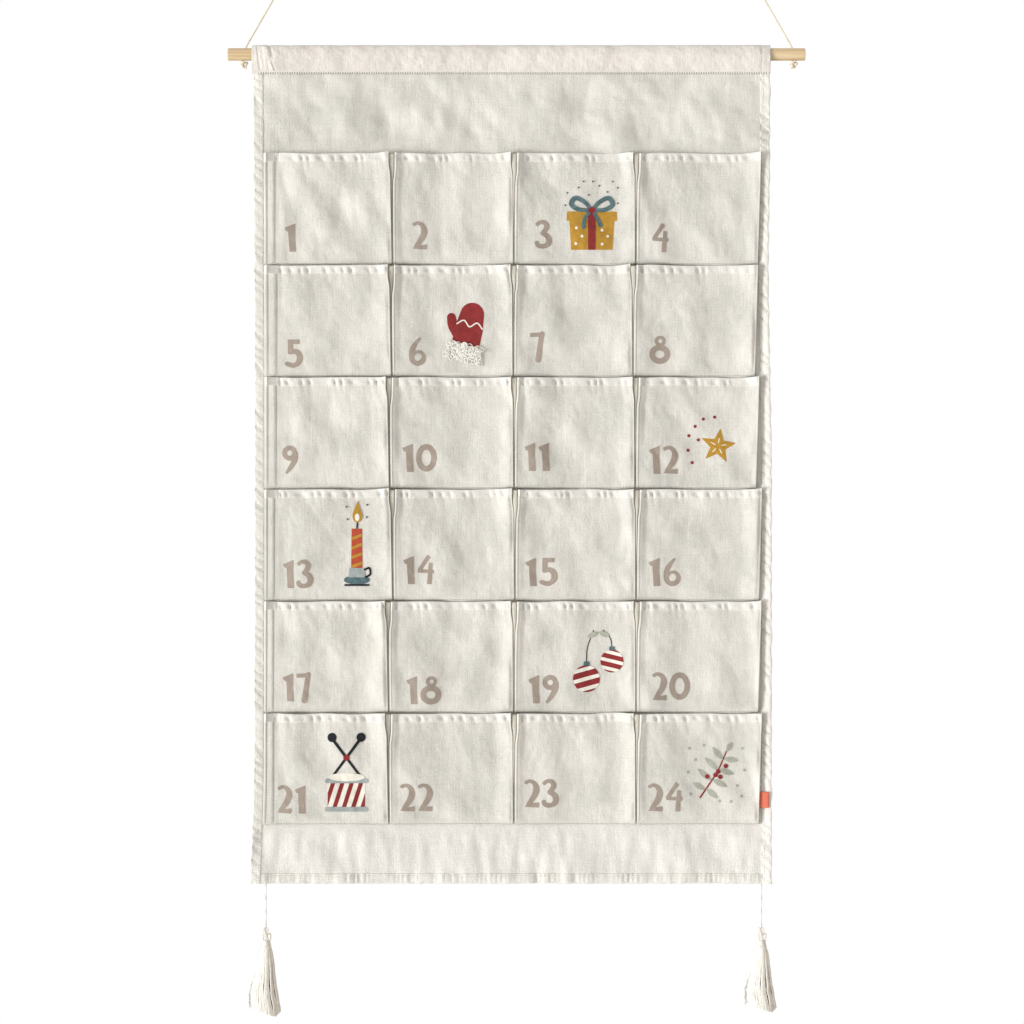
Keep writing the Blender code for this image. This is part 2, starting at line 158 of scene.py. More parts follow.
class Finish:
    """A material, its Principled shader and one way to add any node."""

    def __init__(self, name, constants):
        self.material = bpy.data.materials.new(name)
        self.material.use_nodes = True
        self.tree = self.material.node_tree
        self.shader = self.tree.nodes["Principled BSDF"]
        for socket, value in constants.items():
            self.join(self.shader.inputs[socket], value)

    def join(self, socket, value):
        if isinstance(value, Wire):
            self.tree.links.new(value.socket, socket)
        else:
            socket.default_value = value

    def node(self, kind, settings=None, inputs=None, output=0):
        node = self.tree.nodes.new("ShaderNode" + kind)
        for name, value in (settings or {}).items():
            setattr(node, name, value)
        for name, value in (inputs or {}).items():
            self.join(node.inputs[name], value)
        return Wire(self, node.outputs[output])

    def stretched(self, where, scale):
        """Coordinates multiplied by a scale for each axis."""
        return self.node("VectorMath", {"operation": "MULTIPLY"}, {0: where, 1: scale})

    def noise(self, where, scale, detail=2.0):
        return self.node("TexNoise", None, {"Vector": where, "Scale": scale, "Detail": detail})

    def mix(self, factor, first, second):
        """A mix of two colours, each a wire or three numbers."""
        first, second = (value if isinstance(value, Wire) else (*value, 1.0) for value in (first, second))
        return self.node("Mix", {"data_type": "RGBA"}, {0: factor, 6: first, 7: second}, 2)

    def colour(self, value):
        self.join(self.shader.inputs["Base Color"], value)

    def bump(self, height, distance, strength=1.0):
        inputs = {"Strength": strength, "Distance": distance, "Height": height}
        self.join(self.shader.inputs["Normal"], self.node("Bump", None, inputs))


print("a finish is made of", Wire.__name__, "and", Finish.__name__)

# %% [markdown]
# ## Cotton canvas
# The banner is undyed cotton canvas: a plain weave of slightly uneven threads, matt and off-white. Its
# threads are drawn in the cloth's own UV map, which is in metres, so that the weave runs with the cloth and
# has one scale everywhere. The uneven threads are noise that is pulled long one way, and fine specks of
# light and dark make it look spun. Warmer and greyer patches lie over the whole cloth. One function makes
# every cotton here, because only their tones differ: doubled cloth is paler and the back is more even. The
# darker, warmer cloth in the pleats is painted shade, and the sleeve's paler, pinker cloth is painted light.


# %% Cotton finish
THREAD = 0.85
METRES_TO_MM = (1000.0, 1000.0, 1000.0)


def scaled(colour, *factors):
    """A colour times one factor, or times three, one for each of its numbers."""
    return tuple(c * k for c, k in zip(colour, factors * 3))


def cotton_finish(name, warm, grey):
    """Canvas that is warm in some places and grey in others."""
    finish = Finish(name, {"Roughness": 0.93, "Sheen Weight": 0.1, "Specular IOR Level": 0.25})
    cloth = finish.stretched(finish.node("TexCoord", None, None, "UV"), METRES_TO_MM)
    weave = (cloth.part("X") * (math.tau / THREAD)).sine() * (cloth.part("Y") * (math.tau / THREAD)).sine()
    warp = finish.noise(finish.stretched(cloth, (1.0, 0.06, 1.0)), 0.62, 3.0)
    weft = finish.noise(finish.stretched(cloth, (0.06, 1.0, 1.0)), 0.62, 3.0)
    slubs = (warp * 0.6 + weft * 0.4).within(0.38, 0.62)
    place = finish.node("TexCoord", None, None, "Object")
    small, large = finish.noise(place, 26.0, 4.0), finish.noise(place, 10.0)
    patches = (small * 0.62 + large * 0.38).within(0.42, 0.60)
    tint = finish.noise(place, 61.0).within(0.45, 0.7)
    grain = finish.noise(place, 640.0)
    specks = slubs * 0.45 + grain.within(0.34, 0.62) * 0.55
    dark = finish.mix(specks, scaled(grey, 0.895), scaled(grey, 1.01))
    light = finish.mix(specks, scaled(warm, 0.92), scaled(warm, 1.01))
    base = finish.mix(patches, dark, light)
    finish.colour(finish.mix(tint * 0.5, base, scaled(warm, 0.97, 0.94, 0.94)))
    crumple = finish.noise(finish.stretched(place, (1.0, 1.0, 0.6)), 80.0)
    finish.bump(weave * 0.12 + (warp + weft) * 0.34 + grain * 0.42 + crumple * 1.5, 0.00125, 0.9)
    return finish.material


cotton = cotton_finish("cotton_canvas", (0.860, 0.844, 0.791), (0.752, 0.743, 0.698))
doubled_cotton = cotton_finish("cotton_doubled", (0.928, 0.916, 0.876), (0.880, 0.868, 0.826))
hem_cotton = cotton_finish("cotton_hem", (0.960, 0.948, 0.907), (0.910, 0.898, 0.855))
# painted shade: the pleats' cloth is darker and warmer than the canvas because it lies in shade
painted_shade_pleat_cotton = cotton_finish("cotton_pleat_painted_shade", (0.800, 0.775, 0.690), (0.730, 0.705, 0.620))
back_cotton = cotton_finish("cotton_back", (0.835, 0.820, 0.770), (0.795, 0.783, 0.737))
# painted light: the sleeve is the banner's own canvas, drawn paler and a little pinker for the light it
# catches
sleeve_painted_light_cotton = cotton_finish("cotton_sleeve_painted_light", (0.937, 0.904, 0.857), (0.878, 0.840, 0.792))
cottons = (cotton, doubled_cotton, hem_cotton, painted_shade_pleat_cotton, back_cotton, sleeve_painted_light_cotton)
print("made", [made.name for made in cottons])

# %% [markdown]
# ## Cord and yarn
# The hanging cord is cream cotton, twisted from two plies. Yarn for the tassels is softer and whiter, with
# warmer strands among it. The warm yarn is also painted shade on a tassel's right side, and the grey of a
# few loose strands is painted shade. The plies themselves are modelled, so the finish adds only the fine
# fibres: noise that is stretched along the cord. Sewing thread lies pale on the cloth. Where a seam pulls
# thread into the shade, its darker finish is painted shade.


# %% Cord, yarn and thread finishes
CORD_HAIR = (2200.0, 2200.0, 900.0)
YARN_HAIR = (2600.0, 2600.0, 160.0)
THREAD_HAIR = (3000.0, 3000.0, 3000.0)


def fibre_finish(name, light, dark, hair_scale):
    """Matt fibres between two colours. A smaller scale on an axis makes them longer along it."""
    finish = Finish(name, {"Roughness": 0.9, "Sheen Weight": 0.1, "Specular IOR Level": 0.2})
    place = finish.node("TexCoord", None, None, "Object")
    hair = finish.noise(finish.stretched(place, hair_scale), 1.0, 4.0)
    patches = finish.noise(place, 90.0)
    finish.colour(finish.mix((hair * 0.7 + patches * 0.3).within(0.3, 0.66), dark, light))
    finish.bump(hair, 0.0003, 0.7)
    return finish.material


cord_fibre = fibre_finish("cream_cord", (0.88, 0.82, 0.69), (0.62, 0.54, 0.41), CORD_HAIR)
yarn_fibre = fibre_finish("tassel_yarn", (0.93, 0.915, 0.88), (0.84, 0.815, 0.765), YARN_HAIR)
# also painted shade: on a tassel's right side and its ring this warm yarn stands in for shade
warm_and_shade_yarn = fibre_finish("tassel_yarn_warm_and_shade", (0.88, 0.83, 0.74), (0.64, 0.57, 0.48), YARN_HAIR)
# painted shade: the grey of the loose strands stands in for the shaded lines between locks
loose_shade_yarn = fibre_finish("tassel_yarn_painted_shade", (0.60, 0.58, 0.54), (0.44, 0.42, 0.385), YARN_HAIR)
thread_fibre = fibre_finish("sewing_thread", (0.93, 0.91, 0.86), (0.80, 0.77, 0.71), THREAD_HAIR)
# painted shade: seam thread is drawn dark for the shade it sits in
shade_painted_thread = fibre_finish("shade_painted_thread", (0.50, 0.465, 0.41), (0.36, 0.335, 0.29), THREAD_HAIR)
fibres = (cord_fibre, yarn_fibre, warm_and_shade_yarn, loose_shade_yarn, thread_fibre, shade_painted_thread)
print("made", [made.name for made in fibres])

# %% [markdown]
# ## Meshes from rows of points
# Cloth and cord are both made the same way here: rows of points, each joined to the next. Working the points
# out with numpy keeps a surface's rule in one readable place. The UV map is the distance along the rows and
# across them, so that a weave drawn in it isn't stretched.


# %% Grid, tube and slab
def new_object(name, mesh, material=None):
    obj = bpy.data.objects.new(name, mesh)
    bpy.context.scene.collection.objects.link(obj)
    if material:
        mesh.materials.append(material)
    return obj


def grid_faces(rows, columns, first=0):
    """The squares between points that are numbered row by row."""
    corner = first + np.arange(rows * columns).reshape(rows, columns)
    return np.stack([corner[:-1, :-1], corner[:-1, 1:], corner[1:, 1:], corner[1:, :-1]], -1).reshape(-1, 4)


def map_cloth(mesh, places, faces):
    """The UV map that the weave is drawn in, from a flat place for each point."""
    layer = mesh.uv_layers.new(name="cloth")
    layer.data.foreach_set("uv", places[faces.reshape(-1)].astype(np.float32).reshape(-1))


def run_along(points):
    """How far along a row of points each one lies."""
    return np.concatenate([[0.0], np.cumsum(np.linalg.norm(np.diff(points, axis=0), axis=1))])


def grid_mesh(name, points):
    """A sheet through points[row, column]. It faces the side that columns crossed with rows points to."""
    rows, columns = points.shape[:2]
    faces = grid_faces(rows, columns)
    mesh = bpy.data.meshes.new(name)
    mesh.from_pydata(points.reshape(-1, 3).tolist(), [], faces.tolist())
    across, along = run_along(points[rows // 2]), run_along(points[:, columns // 2])
    places = np.stack(np.broadcast_arrays(across[None, :], along[:, None]), -1).reshape(-1, 2)
    map_cloth(mesh, places, faces)
    mesh.shade_smooth()
    return mesh


def settle(obj):
    """Applies an object's modifiers, so that what is left is plain mesh."""
    graph = bpy.context.evaluated_depsgraph_get()
    made = bpy.data.meshes.new_from_object(obj.evaluated_get(graph), depsgraph=graph)
    obj.modifiers.clear()
    obj.data = made
    return obj


def thicken(obj, thickness):
    """Turns a sheet into cloth of a real thickness, laid behind the sheet."""
    wall = obj.modifiers.new("thickness", "SOLIDIFY")
    wall.thickness = thickness
    wall.offset = -1.0
    return settle(obj)


def cloth_piece(name, points, material, thickness):
    return thicken(new_object(name, grid_mesh(name, points), material), thickness)


def smooth_route(route, step):
    """Points about one step apart on a Catmull-Rom curve through the route's own points."""
    points = [Vector(point) for point in route]
    ends = [2 * points[0] - points[1], *points, 2 * points[-1] - points[-2]]
    out = [points[0]]
    for before, start, end, after in zip(ends, ends[1:], ends[2:], ends[3:]):
        count = max(1, round((end - start).length / step))
        for i in range(1, count + 1):
            t = i / count
            bend = (2 * before - 5 * start + 4 * end - after) * t**2
            turn = (3 * start - before - 3 * end + after) * t**3
            out.append((2 * start + (end - before) * t + bend + turn) / 2)
    return out


def smooth_section(pairs, step):
    """A cloth's section, as a smooth row of points through a few pairs of numbers."""
    return np.array([list(p) for p in smooth_route([(a, b, 0.0) for a, b in pairs], step)])[:, :2]


def length_of(points):
    return sum((b - a).length for a, b in zip(points, points[1:]))


print("smooth_route makes", len(smooth_route([(0, 0, 0), (0, 0, 1)], 0.1)), "points of a short line")

# %% [markdown]
# ## Twisted cord
# A cord is plies twisted round each other. Its section is a circle with a lobe for each ply, and the section
# turns as it goes along the path. A frame that is carried along the path without spinning keeps the twist
# even, also in a knot. Each point's colour comes from the fibre finish, and the grooves between plies are
# real shape.


# %% Twisted tube along a path
def carried_frames(path):
    """Two directions across the path at each of its points, which don't spin about it."""
    ahead = [(b - a).normalized() for a, b in zip(path, path[1:])]
    directions = [ahead[0], *[(a + b).normalized() for a, b in zip(ahead, ahead[1:])], ahead[-1]]
    side = directions[0].orthogonal().normalized()
    frames = []
    for direction in directions:
        side = (side - direction * side.dot(direction)).normalized()
        frames.append((side, direction.cross(side)))
    return frames


def twisted_cord(name, path, diameter, material, plies=2, lay=6.0 * MM, groove=0.2, sides=16, tip=0.35):
    """A closed tube of twisted plies along a path. lay is the length of one whole turn."""
    rings, turned = [], 0.0
    for i, (point, (side, up)) in enumerate(zip(path, carried_frames(path))):
        if i:
            turned += math.tau * (point - path[i - 1]).length / lay
        near_end = tip if i in (0, len(path) - 1) else 1.0
        ring = []
        for j in range(sides):
            angle = math.tau * j / sides
            lobe = 1.0 - groove * (1.0 - abs(math.cos(plies * (angle - turned) / 2)))
            reach = near_end * lobe * diameter / 2
            ring.append(point + (side * math.cos(angle) + up * math.sin(angle)) * reach)
        rings.append(ring)
    bm = bmesh.new()
    loops = [[bm.verts.new(point) for point in ring] for ring in rings]
    bm.faces.new(loops[0])
    bm.faces.new(reversed(loops[-1]))
    for low, high in zip(loops, loops[1:]):
        for i in range(sides):
            bm.faces.new((low[i], low[i - 1], high[i - 1], high[i]))
    bmesh.ops.recalc_face_normals(bm, faces=bm.faces)
    mesh = bpy.data.meshes.new(name)
    bm.to_mesh(mesh)
    bm.free()
    mesh.shade_smooth()
    return new_object(name, mesh, material)


def knot_path(middle, size, step=0.35 * MM):
    """An overhand knot, drawn tight: a trefoil of about this size."""
    turns = [math.tau * i / 60 for i in range(61)]
    loop = [
        (
            (math.sin(t) + 2 * math.sin(2 * t)) * size[0] / 5.5,
            -math.sin(3 * t) * size[1] / 2,
            (math.cos(t) - 2 * math.cos(2 * t) + 0.375) * size[2] / 5.25,
        )
        for t in turns
    ]
    return [middle + point for point in smooth_route(loop, step)]


print("a knot's path has", len(knot_path(Vector(), (6 * MM, 4 * MM, 5 * MM))), "points")

# %% [markdown]
# ## Hanging cord
# The cord goes down through a hole near each end of the rod and is knotted under it. It rises inwards to
# something above the picture that holds it taut, so each strand ends just above the view in a tied loop. The
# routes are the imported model's own, written out again in metres.

# %% Hanging strands, their knots and loops
CORD = 1.9 * MM
KNOT_CORD = 2.5 * MM
LAY = 5.2 * MM
STRAND_ROUTE = ((0.0, -6.0), (0.0, 0.0), (0.1, 5.0), (1.2, 8.6), (6.0, 17.2), (18.0, 38.0), (30.4, 59.5))
TAIL_ROUTE = ((0.0, 0.0, 0.0), (1.6, 1.2, 2.2), (2.4, 1.4, 4.2))
HOLES = {"left": (-262.0 * MM, 1.0), "right": (266.4 * MM, -1.0)}

for side, (hole, inward) in HOLES.items():
    route = [Vector((hole + inward * across * MM, 0.0, up * MM)) for across, up in STRAND_ROUTE]
    path = smooth_route(route, 0.5 * MM)
    strand = twisted_cord("hanging_strand_" + side, path, CORD, cord_fibre, lay=LAY)
    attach(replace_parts(strand, "hanging_cord_" + side), "hanger")

    low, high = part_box("rod_knot_" + side)
    middle, size = (low + high) / 2, [extent - KNOT_CORD for extent in high - low]
    knot = twisted_cord("strand_knot_" + side, knot_path(middle, size), KNOT_CORD, cord_fibre, lay=LAY)
    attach(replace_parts(knot, "rod_knot_" + side), "hanger")
    tail_route = [middle + Vector((inward * a, -b, -c)) * MM for a, b, c in TAIL_ROUTE]
    tail_path = smooth_route(tail_route, 0.5 * MM)
    tail = twisted_cord("knot_tail_" + side, tail_path, CORD, cord_fibre, lay=LAY, tip=0.6)
    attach(tail, "hanger")

    along = (path[-1] - path[-2]).normalized()
    across = Vector((along.z, 0.0, -along.x))
    eye = []
    for i in range(41):
        turn = math.tau * (i + 0.5) / 40
        eye.append(path[-1] + along * (13.0 - 9.0 * math.cos(turn)) * MM + across * 3.6 * MM * math.sin(turn))
    eye_path = smooth_route(eye, 0.5 * MM)
    loop = twisted_cord("top_loop_" + side, eye_path, CORD, cord_fibre, lay=LAY, tip=1.0)
    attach(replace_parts(loop, "hanging_loop_" + side), "hanger")
    tie = knot_path(path[-1] + along * 3.0 * MM, (3.6 * MM, 2.6 * MM, 3.6 * MM))
    loop_knot = twisted_cord("top_knot_" + side, tie, CORD, cord_fibre, lay=LAY)
    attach(loop_knot, "hanger")
    length_of(path)
    print("strand", side, "is", round(length_of(path) / MM, 1), "mm long")

# %% [markdown]
# ## Tassel cords
# Each tassel hangs on two fine strands that leave the hem side by side. They are one cord of two plies with
# a long, loose twist. The cord swings at the hem, and the tassel swings at the cord's lower end.

# %% Tassel cords
TASSEL_CORD = 2.0 * MM
TASSEL_ROUTE = ((0.0, 0.0), (0.1, -12.0), (0.0, -24.0), (-0.1, -34.0), (0.0, -42.2))
TASSEL_X = {"left": -242.5 * MM, "right": 236.4 * MM}
tassel_cords = {}

for side in HOLES:
    low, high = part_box("tassel_cord_" + side)
    top = Vector((TASSEL_X[side], (low.y + high.y) / 2, high.z))
    outward = -HOLES[side][1]
    route = [top + Vector((outward * out * MM, 0.0, up * MM)) for out, up in TASSEL_ROUTE]
    path = smooth_route(route, 0.7 * MM)
    name = "tassel_strands_" + side
    strands = twisted_cord(name, path, TASSEL_CORD, yarn_fibre, lay=26.0 * MM, groove=0.5, sides=20, tip=0.6)
    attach(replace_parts(strands, "tassel_cord_" + side), "tassel_cord_" + side)
    tassel_cords[side] = (strands, path)
    print("tassel cord", side, "is", round(length_of(path) / MM, 1), "mm long")

# %% [markdown]
# ## The banner's surface
# Everything on the banner lies on one sheet, so one function says where the sheet is. It takes a place in
# millimetres and how far a thing stands out from the cloth, and gives a place in metres. The cloth isn't
# quite flat: its side edges wander in and out, the right one curls forward beside the pockets, and soft
# folds cover it, stronger in the plain bands above and below the pockets. The folds are sums of random
# waves, which repeat exactly from one run to the next because their seeds are fixed.

# %% Folds, and places on the banner
panel_low, panel_high = (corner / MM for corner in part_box("backing_panel"))
first_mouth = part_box("pocket_01")[1].z / MM
last_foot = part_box("pocket_24")[0].z / MM


def creases(x, z, size, lean, spread, seed, count=14):
    """Random waves about size apart, of height 1 on average. Their crests are upright at lean 0."""
    dice = random.Random(seed)
    total = 0.0
    for _ in range(count):
        turn = lean + spread * dice.uniform(-1.0, 1.0)
        rate = math.tau / (size * dice.uniform(0.7, 1.6))
        shift = dice.uniform(0.0, math.tau)
        total = total + np.cos((x * math.cos(turn) + z * math.sin(turn)) * rate + shift)
    return total / math.sqrt(count / 2)


def crumples(x, z, size, lean, spread, seed):
    """Flat stretches between sharper lines, as in cloth that was folded: the valleys of random waves."""
    first = creases(x, z, size, lean, spread, seed)
    second = creases(x, z, 0.6 * size, lean + 0.9, spread, seed + 1)
    return np.sqrt(first**2 + 0.02) + 0.5 * np.sqrt(second**2 + 0.02)


def relief(x, z):
    """How far the sheet itself stands out at a place, in millimetres."""
    upper = ease((z - first_mouth + 4.0) / 20.0) * ease((panel_high.z - z + 3.0) / 14.0)
    lower = ease((last_foot - z - 1.0) / 12.0)
    wide = creases(x, z, 58.0, 0.5, 0.9, 1)
    folds = crumples(x, z, 40.0, 0.4, 0.8, 5)
    upright = creases(x, z, 15.0, 0.0, 0.3, 3)
    gathers = creases(x, 0.2 * z, 6.5, 0.0, 0.2, 6) * np.exp(-np.maximum(panel_high.z - z, 0.0) / 9.0)
    soft = creases(x, z, 120.0, 0.3, 1.2, 4)
    top_band = upper * (1.5 * wide + 0.85 * folds + 0.16 * upright) + 0.2 * gathers
    curl = 3.8 * ease((x - panel_high.x + 11.0) / 10.0) * ease((first_mouth + 6.0 - z) / 16.0)
    return top_band + lower * (0.9 * wide + 0.42 * folds + 0.4 * upright) + 0.18 * soft + curl


def drawn_in(x, z):
    """How far the cloth's edges are drawn in from straight lines, in millimetres to the right."""
    down = np.clip((panel_high.z - z) / (panel_high.z - panel_low.z), 0.0, 1.0)
    share = np.clip((x - panel_low.x) / (panel_high.x - panel_low.x), 0.0, 1.0)
    left = 1.5 * np.sin(math.pi * down) ** 0.8 - 2.4 * ease((down - 0.86) / 0.14)
    right = 1.8 * np.exp(-(((down - 0.24) / 0.11) ** 2)) - 1.2 * ease((down - 0.36) / 0.12)
    return left * (1.0 - share) ** 4 - right * share**4


def on_banner(x, z, out):
    """Where a point of the banner is, in metres, from places in millimetres."""
    x, z, out = np.broadcast_arrays(x, z, out)
    y = panel_low.y - relief(x, z) - out
    return np.stack([x + drawn_in(x, z), y, z], -1) * MM


print("the sheet is", [round(v) for v in panel_high - panel_low], "mm")

# %% [markdown]
# ## Backing cloth
# One piece of canvas carries everything else. It is a fine grid where its folds show, in the plain bands,
# and a coarser one behind the pockets. Below the pockets the cloth is doubled and paler, and the back has a
# finish of its own. The rod's sleeve is sewn to its top edge, and the banner swings at that seam.

# %% Backing cloth
heights = np.concatenate(
    [
        np.linspace(panel_low.z, last_foot + 4.0, 28),
        np.arange(last_foot + 9.0, first_mouth - 6.0, 5.4),
        np.linspace(first_mouth - 3.0, panel_high.z, 34),
    ]
)
widths = np.linspace(panel_low.x + 0.6, panel_high.x - 0.6, 186)
x, z = np.meshgrid(widths, heights)
backing = new_object("backing_cloth", grid_mesh("backing_cloth", on_banner(x, z, 0.0)), cotton)
backing.data.materials.append(doubled_cotton)
turned_up = (heights[:-1] < last_foot).repeat(len(widths) - 1)
backing.data.polygons.foreach_set("material_index", turned_up.astype(np.int32))
thicken(backing, 1.0 * MM)
backing.data.materials.append(back_cotton)
for face in backing.data.polygons:
    if face.normal.y > 0.5 and face.material_index == 0:
        face.material_index = 2
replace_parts(backing, "backing_panel", "hem_top")
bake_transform(backing)
print("backing cloth has", len(backing.data.polygons), "faces")

# %% [markdown]
# ## Hems
# The cloth's side and lower edges are turned over and sewn down. The seam draws the doubled cloth into small
# puckers, slanted down the sides and short and upright along the foot. Each hem is a strip whose section
# starts on the sheet, runs over the doubled cloth, round the edge and a little way up the back, and it
# follows the sheet, so the right one curls with it.

# %% Side and lower hems
HEM = 9.5
HEM_SEAM = 7.3
HEM_SECTION = (
    (9.6, -0.3), (9.5, 0.5), (9.1, 0.95), (8.3, 1.1), (7.3, 1.0), (6.2, 1.1),
    (5.0, 1.2), (3.8, 1.25), (2.6, 1.25), (1.4, 1.15), (0.6, 0.9), (0.1, 0.4),
    (0.0, -0.2), (0.1, -0.8), (0.6, -1.25), (1.4, -1.35), (2.2, -1.3), (2.6, -1.0),
)


def hem_piece(name, node, start, end, inward, period, slant, height, seed):
    """A hem along the edge from start to end, both (x, z). inward points from the edge onto the cloth."""
    start, end = np.array(start), np.array(end)
    length = np.linalg.norm(end - start)
    along = np.linspace(0.0, length, round(length / 1.35))[:, None]
    reach, out = np.array(HEM_SECTION).T
    reach, out = reach[None, :], out[None, :]
    unit = (end - start) / length
    phase = math.tau * (along / period + slant * reach / HEM)
    phase = phase + 0.9 * creases(along, 0.0, 3.1 * period, 0.0, 0.0, seed)
    strength = 0.8 + 0.35 * creases(along, 0.0, 60.0, 0.0, 0.0, seed + 1)
    dip = (0.5 + 0.5 * np.sin(phase)) ** 3 + 0.35 * (0.5 + 0.5 * np.sin(2.7 * phase + 1.3)) ** 3
    pucker = -height * strength * dip * ease((out - 0.4) / 0.6) * ease(reach / 2.0)
    groove = 0.22 * bump(reach, HEM_SEAM, 0.7) * (out > 0)
    near_edge = np.clip(1.0 - reach / 4.0, 0.0, 1.0)
    wobble = 0.3 * creases(along, 0.0, 2.2 * period, 0.0, 0.0, seed + 2) * near_edge
    x = start[0] + unit[0] * along + inward[0] * (reach + wobble)
    z = start[1] + unit[1] * along + inward[1] * (reach + wobble)
    points = on_banner(x, z, out + pucker - groove)
    if np.cross(inward, unit) > 0:
        points = points[::-1]
    obj = new_object(name, grid_mesh(name, points), hem_cotton)
    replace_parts(obj, node)
    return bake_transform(obj)


left, right, top, foot = panel_low.x, panel_high.x, panel_high.z, panel_low.z
foot_start, foot_end = (left + HEM, foot), (right - HEM, foot)
hems = [
    hem_piece("hem_fold_left", "hem_left", (left, foot), (left, top), (1, 0), 10.8, 0.55, 1.5, 11),
    hem_piece("hem_fold_right", "hem_right", (right, foot), (right, top), (-1, 0), 10.8, -0.55, 1.5, 21),
    hem_piece("hem_fold_foot", "hem_bottom", foot_start, foot_end, (0, 1), 4.7, 0.0, 0.9, 31),
]
print("hems:", [len(hem.data.polygons) for hem in hems])

# %% [markdown]
# ## Rod sleeve
# The sleeve is the top of the banner, folded over the rod and sewn down. Its section is drawn as the cloth
# lies: round over the rod, then slanting in to the seam and a little way past it. Soft wrinkles at several
# sizes lie over it, and a few single creases were read off the photograph, most of them near its left end,
# where the deepest slants down to the seam. The cloth is pulled smooth over the top of the rod.

# %% Rod sleeve
SLEEVE_SECTION = (
    (-0.9, -18.9), (-1.5, -18.3), (-2.3, -16.8), (-4.9, -13.0), (-7.5, -7.2),
    (-8.4, -2.5), (-8.0, 0.8), (-6.7, 4.1), (-4.8, 6.8), (-2.5, 8.4),
    (0.0, 9.0), (2.9, 8.5), (5.6, 6.9), (7.5, 4.1), (8.3, 0.6),
    (8.1, -2.5), (6.9, -7.2), (4.4, -13.0), (2.3, -16.8), (1.7, -18.9),
)
SEAM_HEIGHT = -17.9
section = smooth_section(SLEEVE_SECTION, 1.0)
sleeve_low, sleeve_high = (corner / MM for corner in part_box("rod_sleeve"))
left_end = np.linspace(sleeve_low.x - 0.8, sleeve_low.x + 32.0, 84)
x = np.concatenate([left_end, np.linspace(sleeve_low.x + 33.1, sleeve_high.x, 420)])[None, :]
around = run_along(section)[:, None]
outward = np.gradient(section, axis=0)[:, ::-1] * (-1.0, 1.0)
outward /= np.linalg.norm(outward, axis=1)[:, None]
gathers = 0.075 * creases(x, 0.8 * around, 5.4, 0.3, 1.3, 41) + 0.19 * creases(x, around, 15.0, 0.6, 1.0, 42)
gathers = gathers + 0.36 * creases(x, 0.6 * around, 34.0, 0.4, 0.6, 43)
gathers = gathers + 0.05 * creases(x, 0.9 * around, 3.5, 0.5, 1.5, 44)
gathers = gathers - 0.9 * (1.0 - ease((x - sleeve_low.x + 0.8) / 6.0))
down = section[:, 1:].max() - section[:, 1:]
upper_part, lower_part = 1.0 - ease((down - 10.0) / 6.0), ease((down - 15.0) / 3.0)
SLEEVE_LINES = (
    (4.0, 0.13, 0.5, 0.9, 1.0),
    (15.6, 0.30, 1.5, 1.9, upper_part),
    (11.9, 0.40, 0.7, 0.8, lower_part),
    (8.9, 0.10, 0.2, 0.7, 1.0),
    (11.6, 0.16, 0.25, 0.7, ease((down - 5.0) / 4.0)),
    (491.6, 0.0, 0.5, 0.9, 1.0),
)
for start, slope, depth, width, where in SLEEVE_LINES:
    crease = x - sleeve_low.x - start - slope * down
    gathers = gathers - depth * where * bump(crease, 0.0, width)
    gathers = gathers + 0.45 * depth * where * bump(crease, -2.4 * width, 1.6 * width)
gathers = gathers * (1.0 - 0.7 * ease((section[:, 1:] - 4.5) / 4.0))
gathers = gathers * ease((around - 2.2) / 3.0) * ease((around.max() - around - 3.2) / 3.0)
y = section[:, :1] + outward[:, :1] * gathers
z = section[:, 1:] + outward[:, 1:] * gathers
sleeve_points = np.stack(np.broadcast_arrays(x, y, z), -1) * MM
# the sleeve's paler, pinker finish is painted light
sleeve = cloth_piece("sleeve_cloth", sleeve_points, sleeve_painted_light_cotton, 0.9 * MM)
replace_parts(sleeve, "rod_sleeve")
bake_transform(sleeve)
print("sleeve has", len(sleeve.data.polygons), "faces")

# %% [markdown]
# ## Pockets
# Each row is one strip of canvas with a pleat at each seam. Light from the left shows how the pleats lie:
# the cloth stands furthest out at a pocket's right fold, which shades a narrow ridge and a valley at the
# left of the next pocket. The places of the folds were read off the photograph, row by row. A pocket's rule
# is written once, as a class, in three steps. The first knows the pocket's size, its folds and its random
# fullness and dents.

# %% Where a pocket's folds are
ROWS, COLUMNS = 6, 4
RIGHT_FOLD_PIXELS = (
    (390.8, 512.8, 634.6, 760.0),
    (390.0, 512.4, 631.8, 757.0),
    (388.0, 513.0, 634.0, 758.2),
    (391.2, 513.8, 635.0, 761.0),
    (387.0, 512.8, 635.0, 760.4),
    (387.2, 512.8, 635.0, 760.8),
)
SIDE_FOLD_PIXELS = (276.5, 278.6, 278.0, 276.0, 275.0, 275.2)
FOOT_DRIFT = (1.3, 0.3, 0.2, -2.6)
MOUTH_DRIFT = (-1.8, -1.8, -1.6, 0.4)
MOUTH_HEM = 9.0


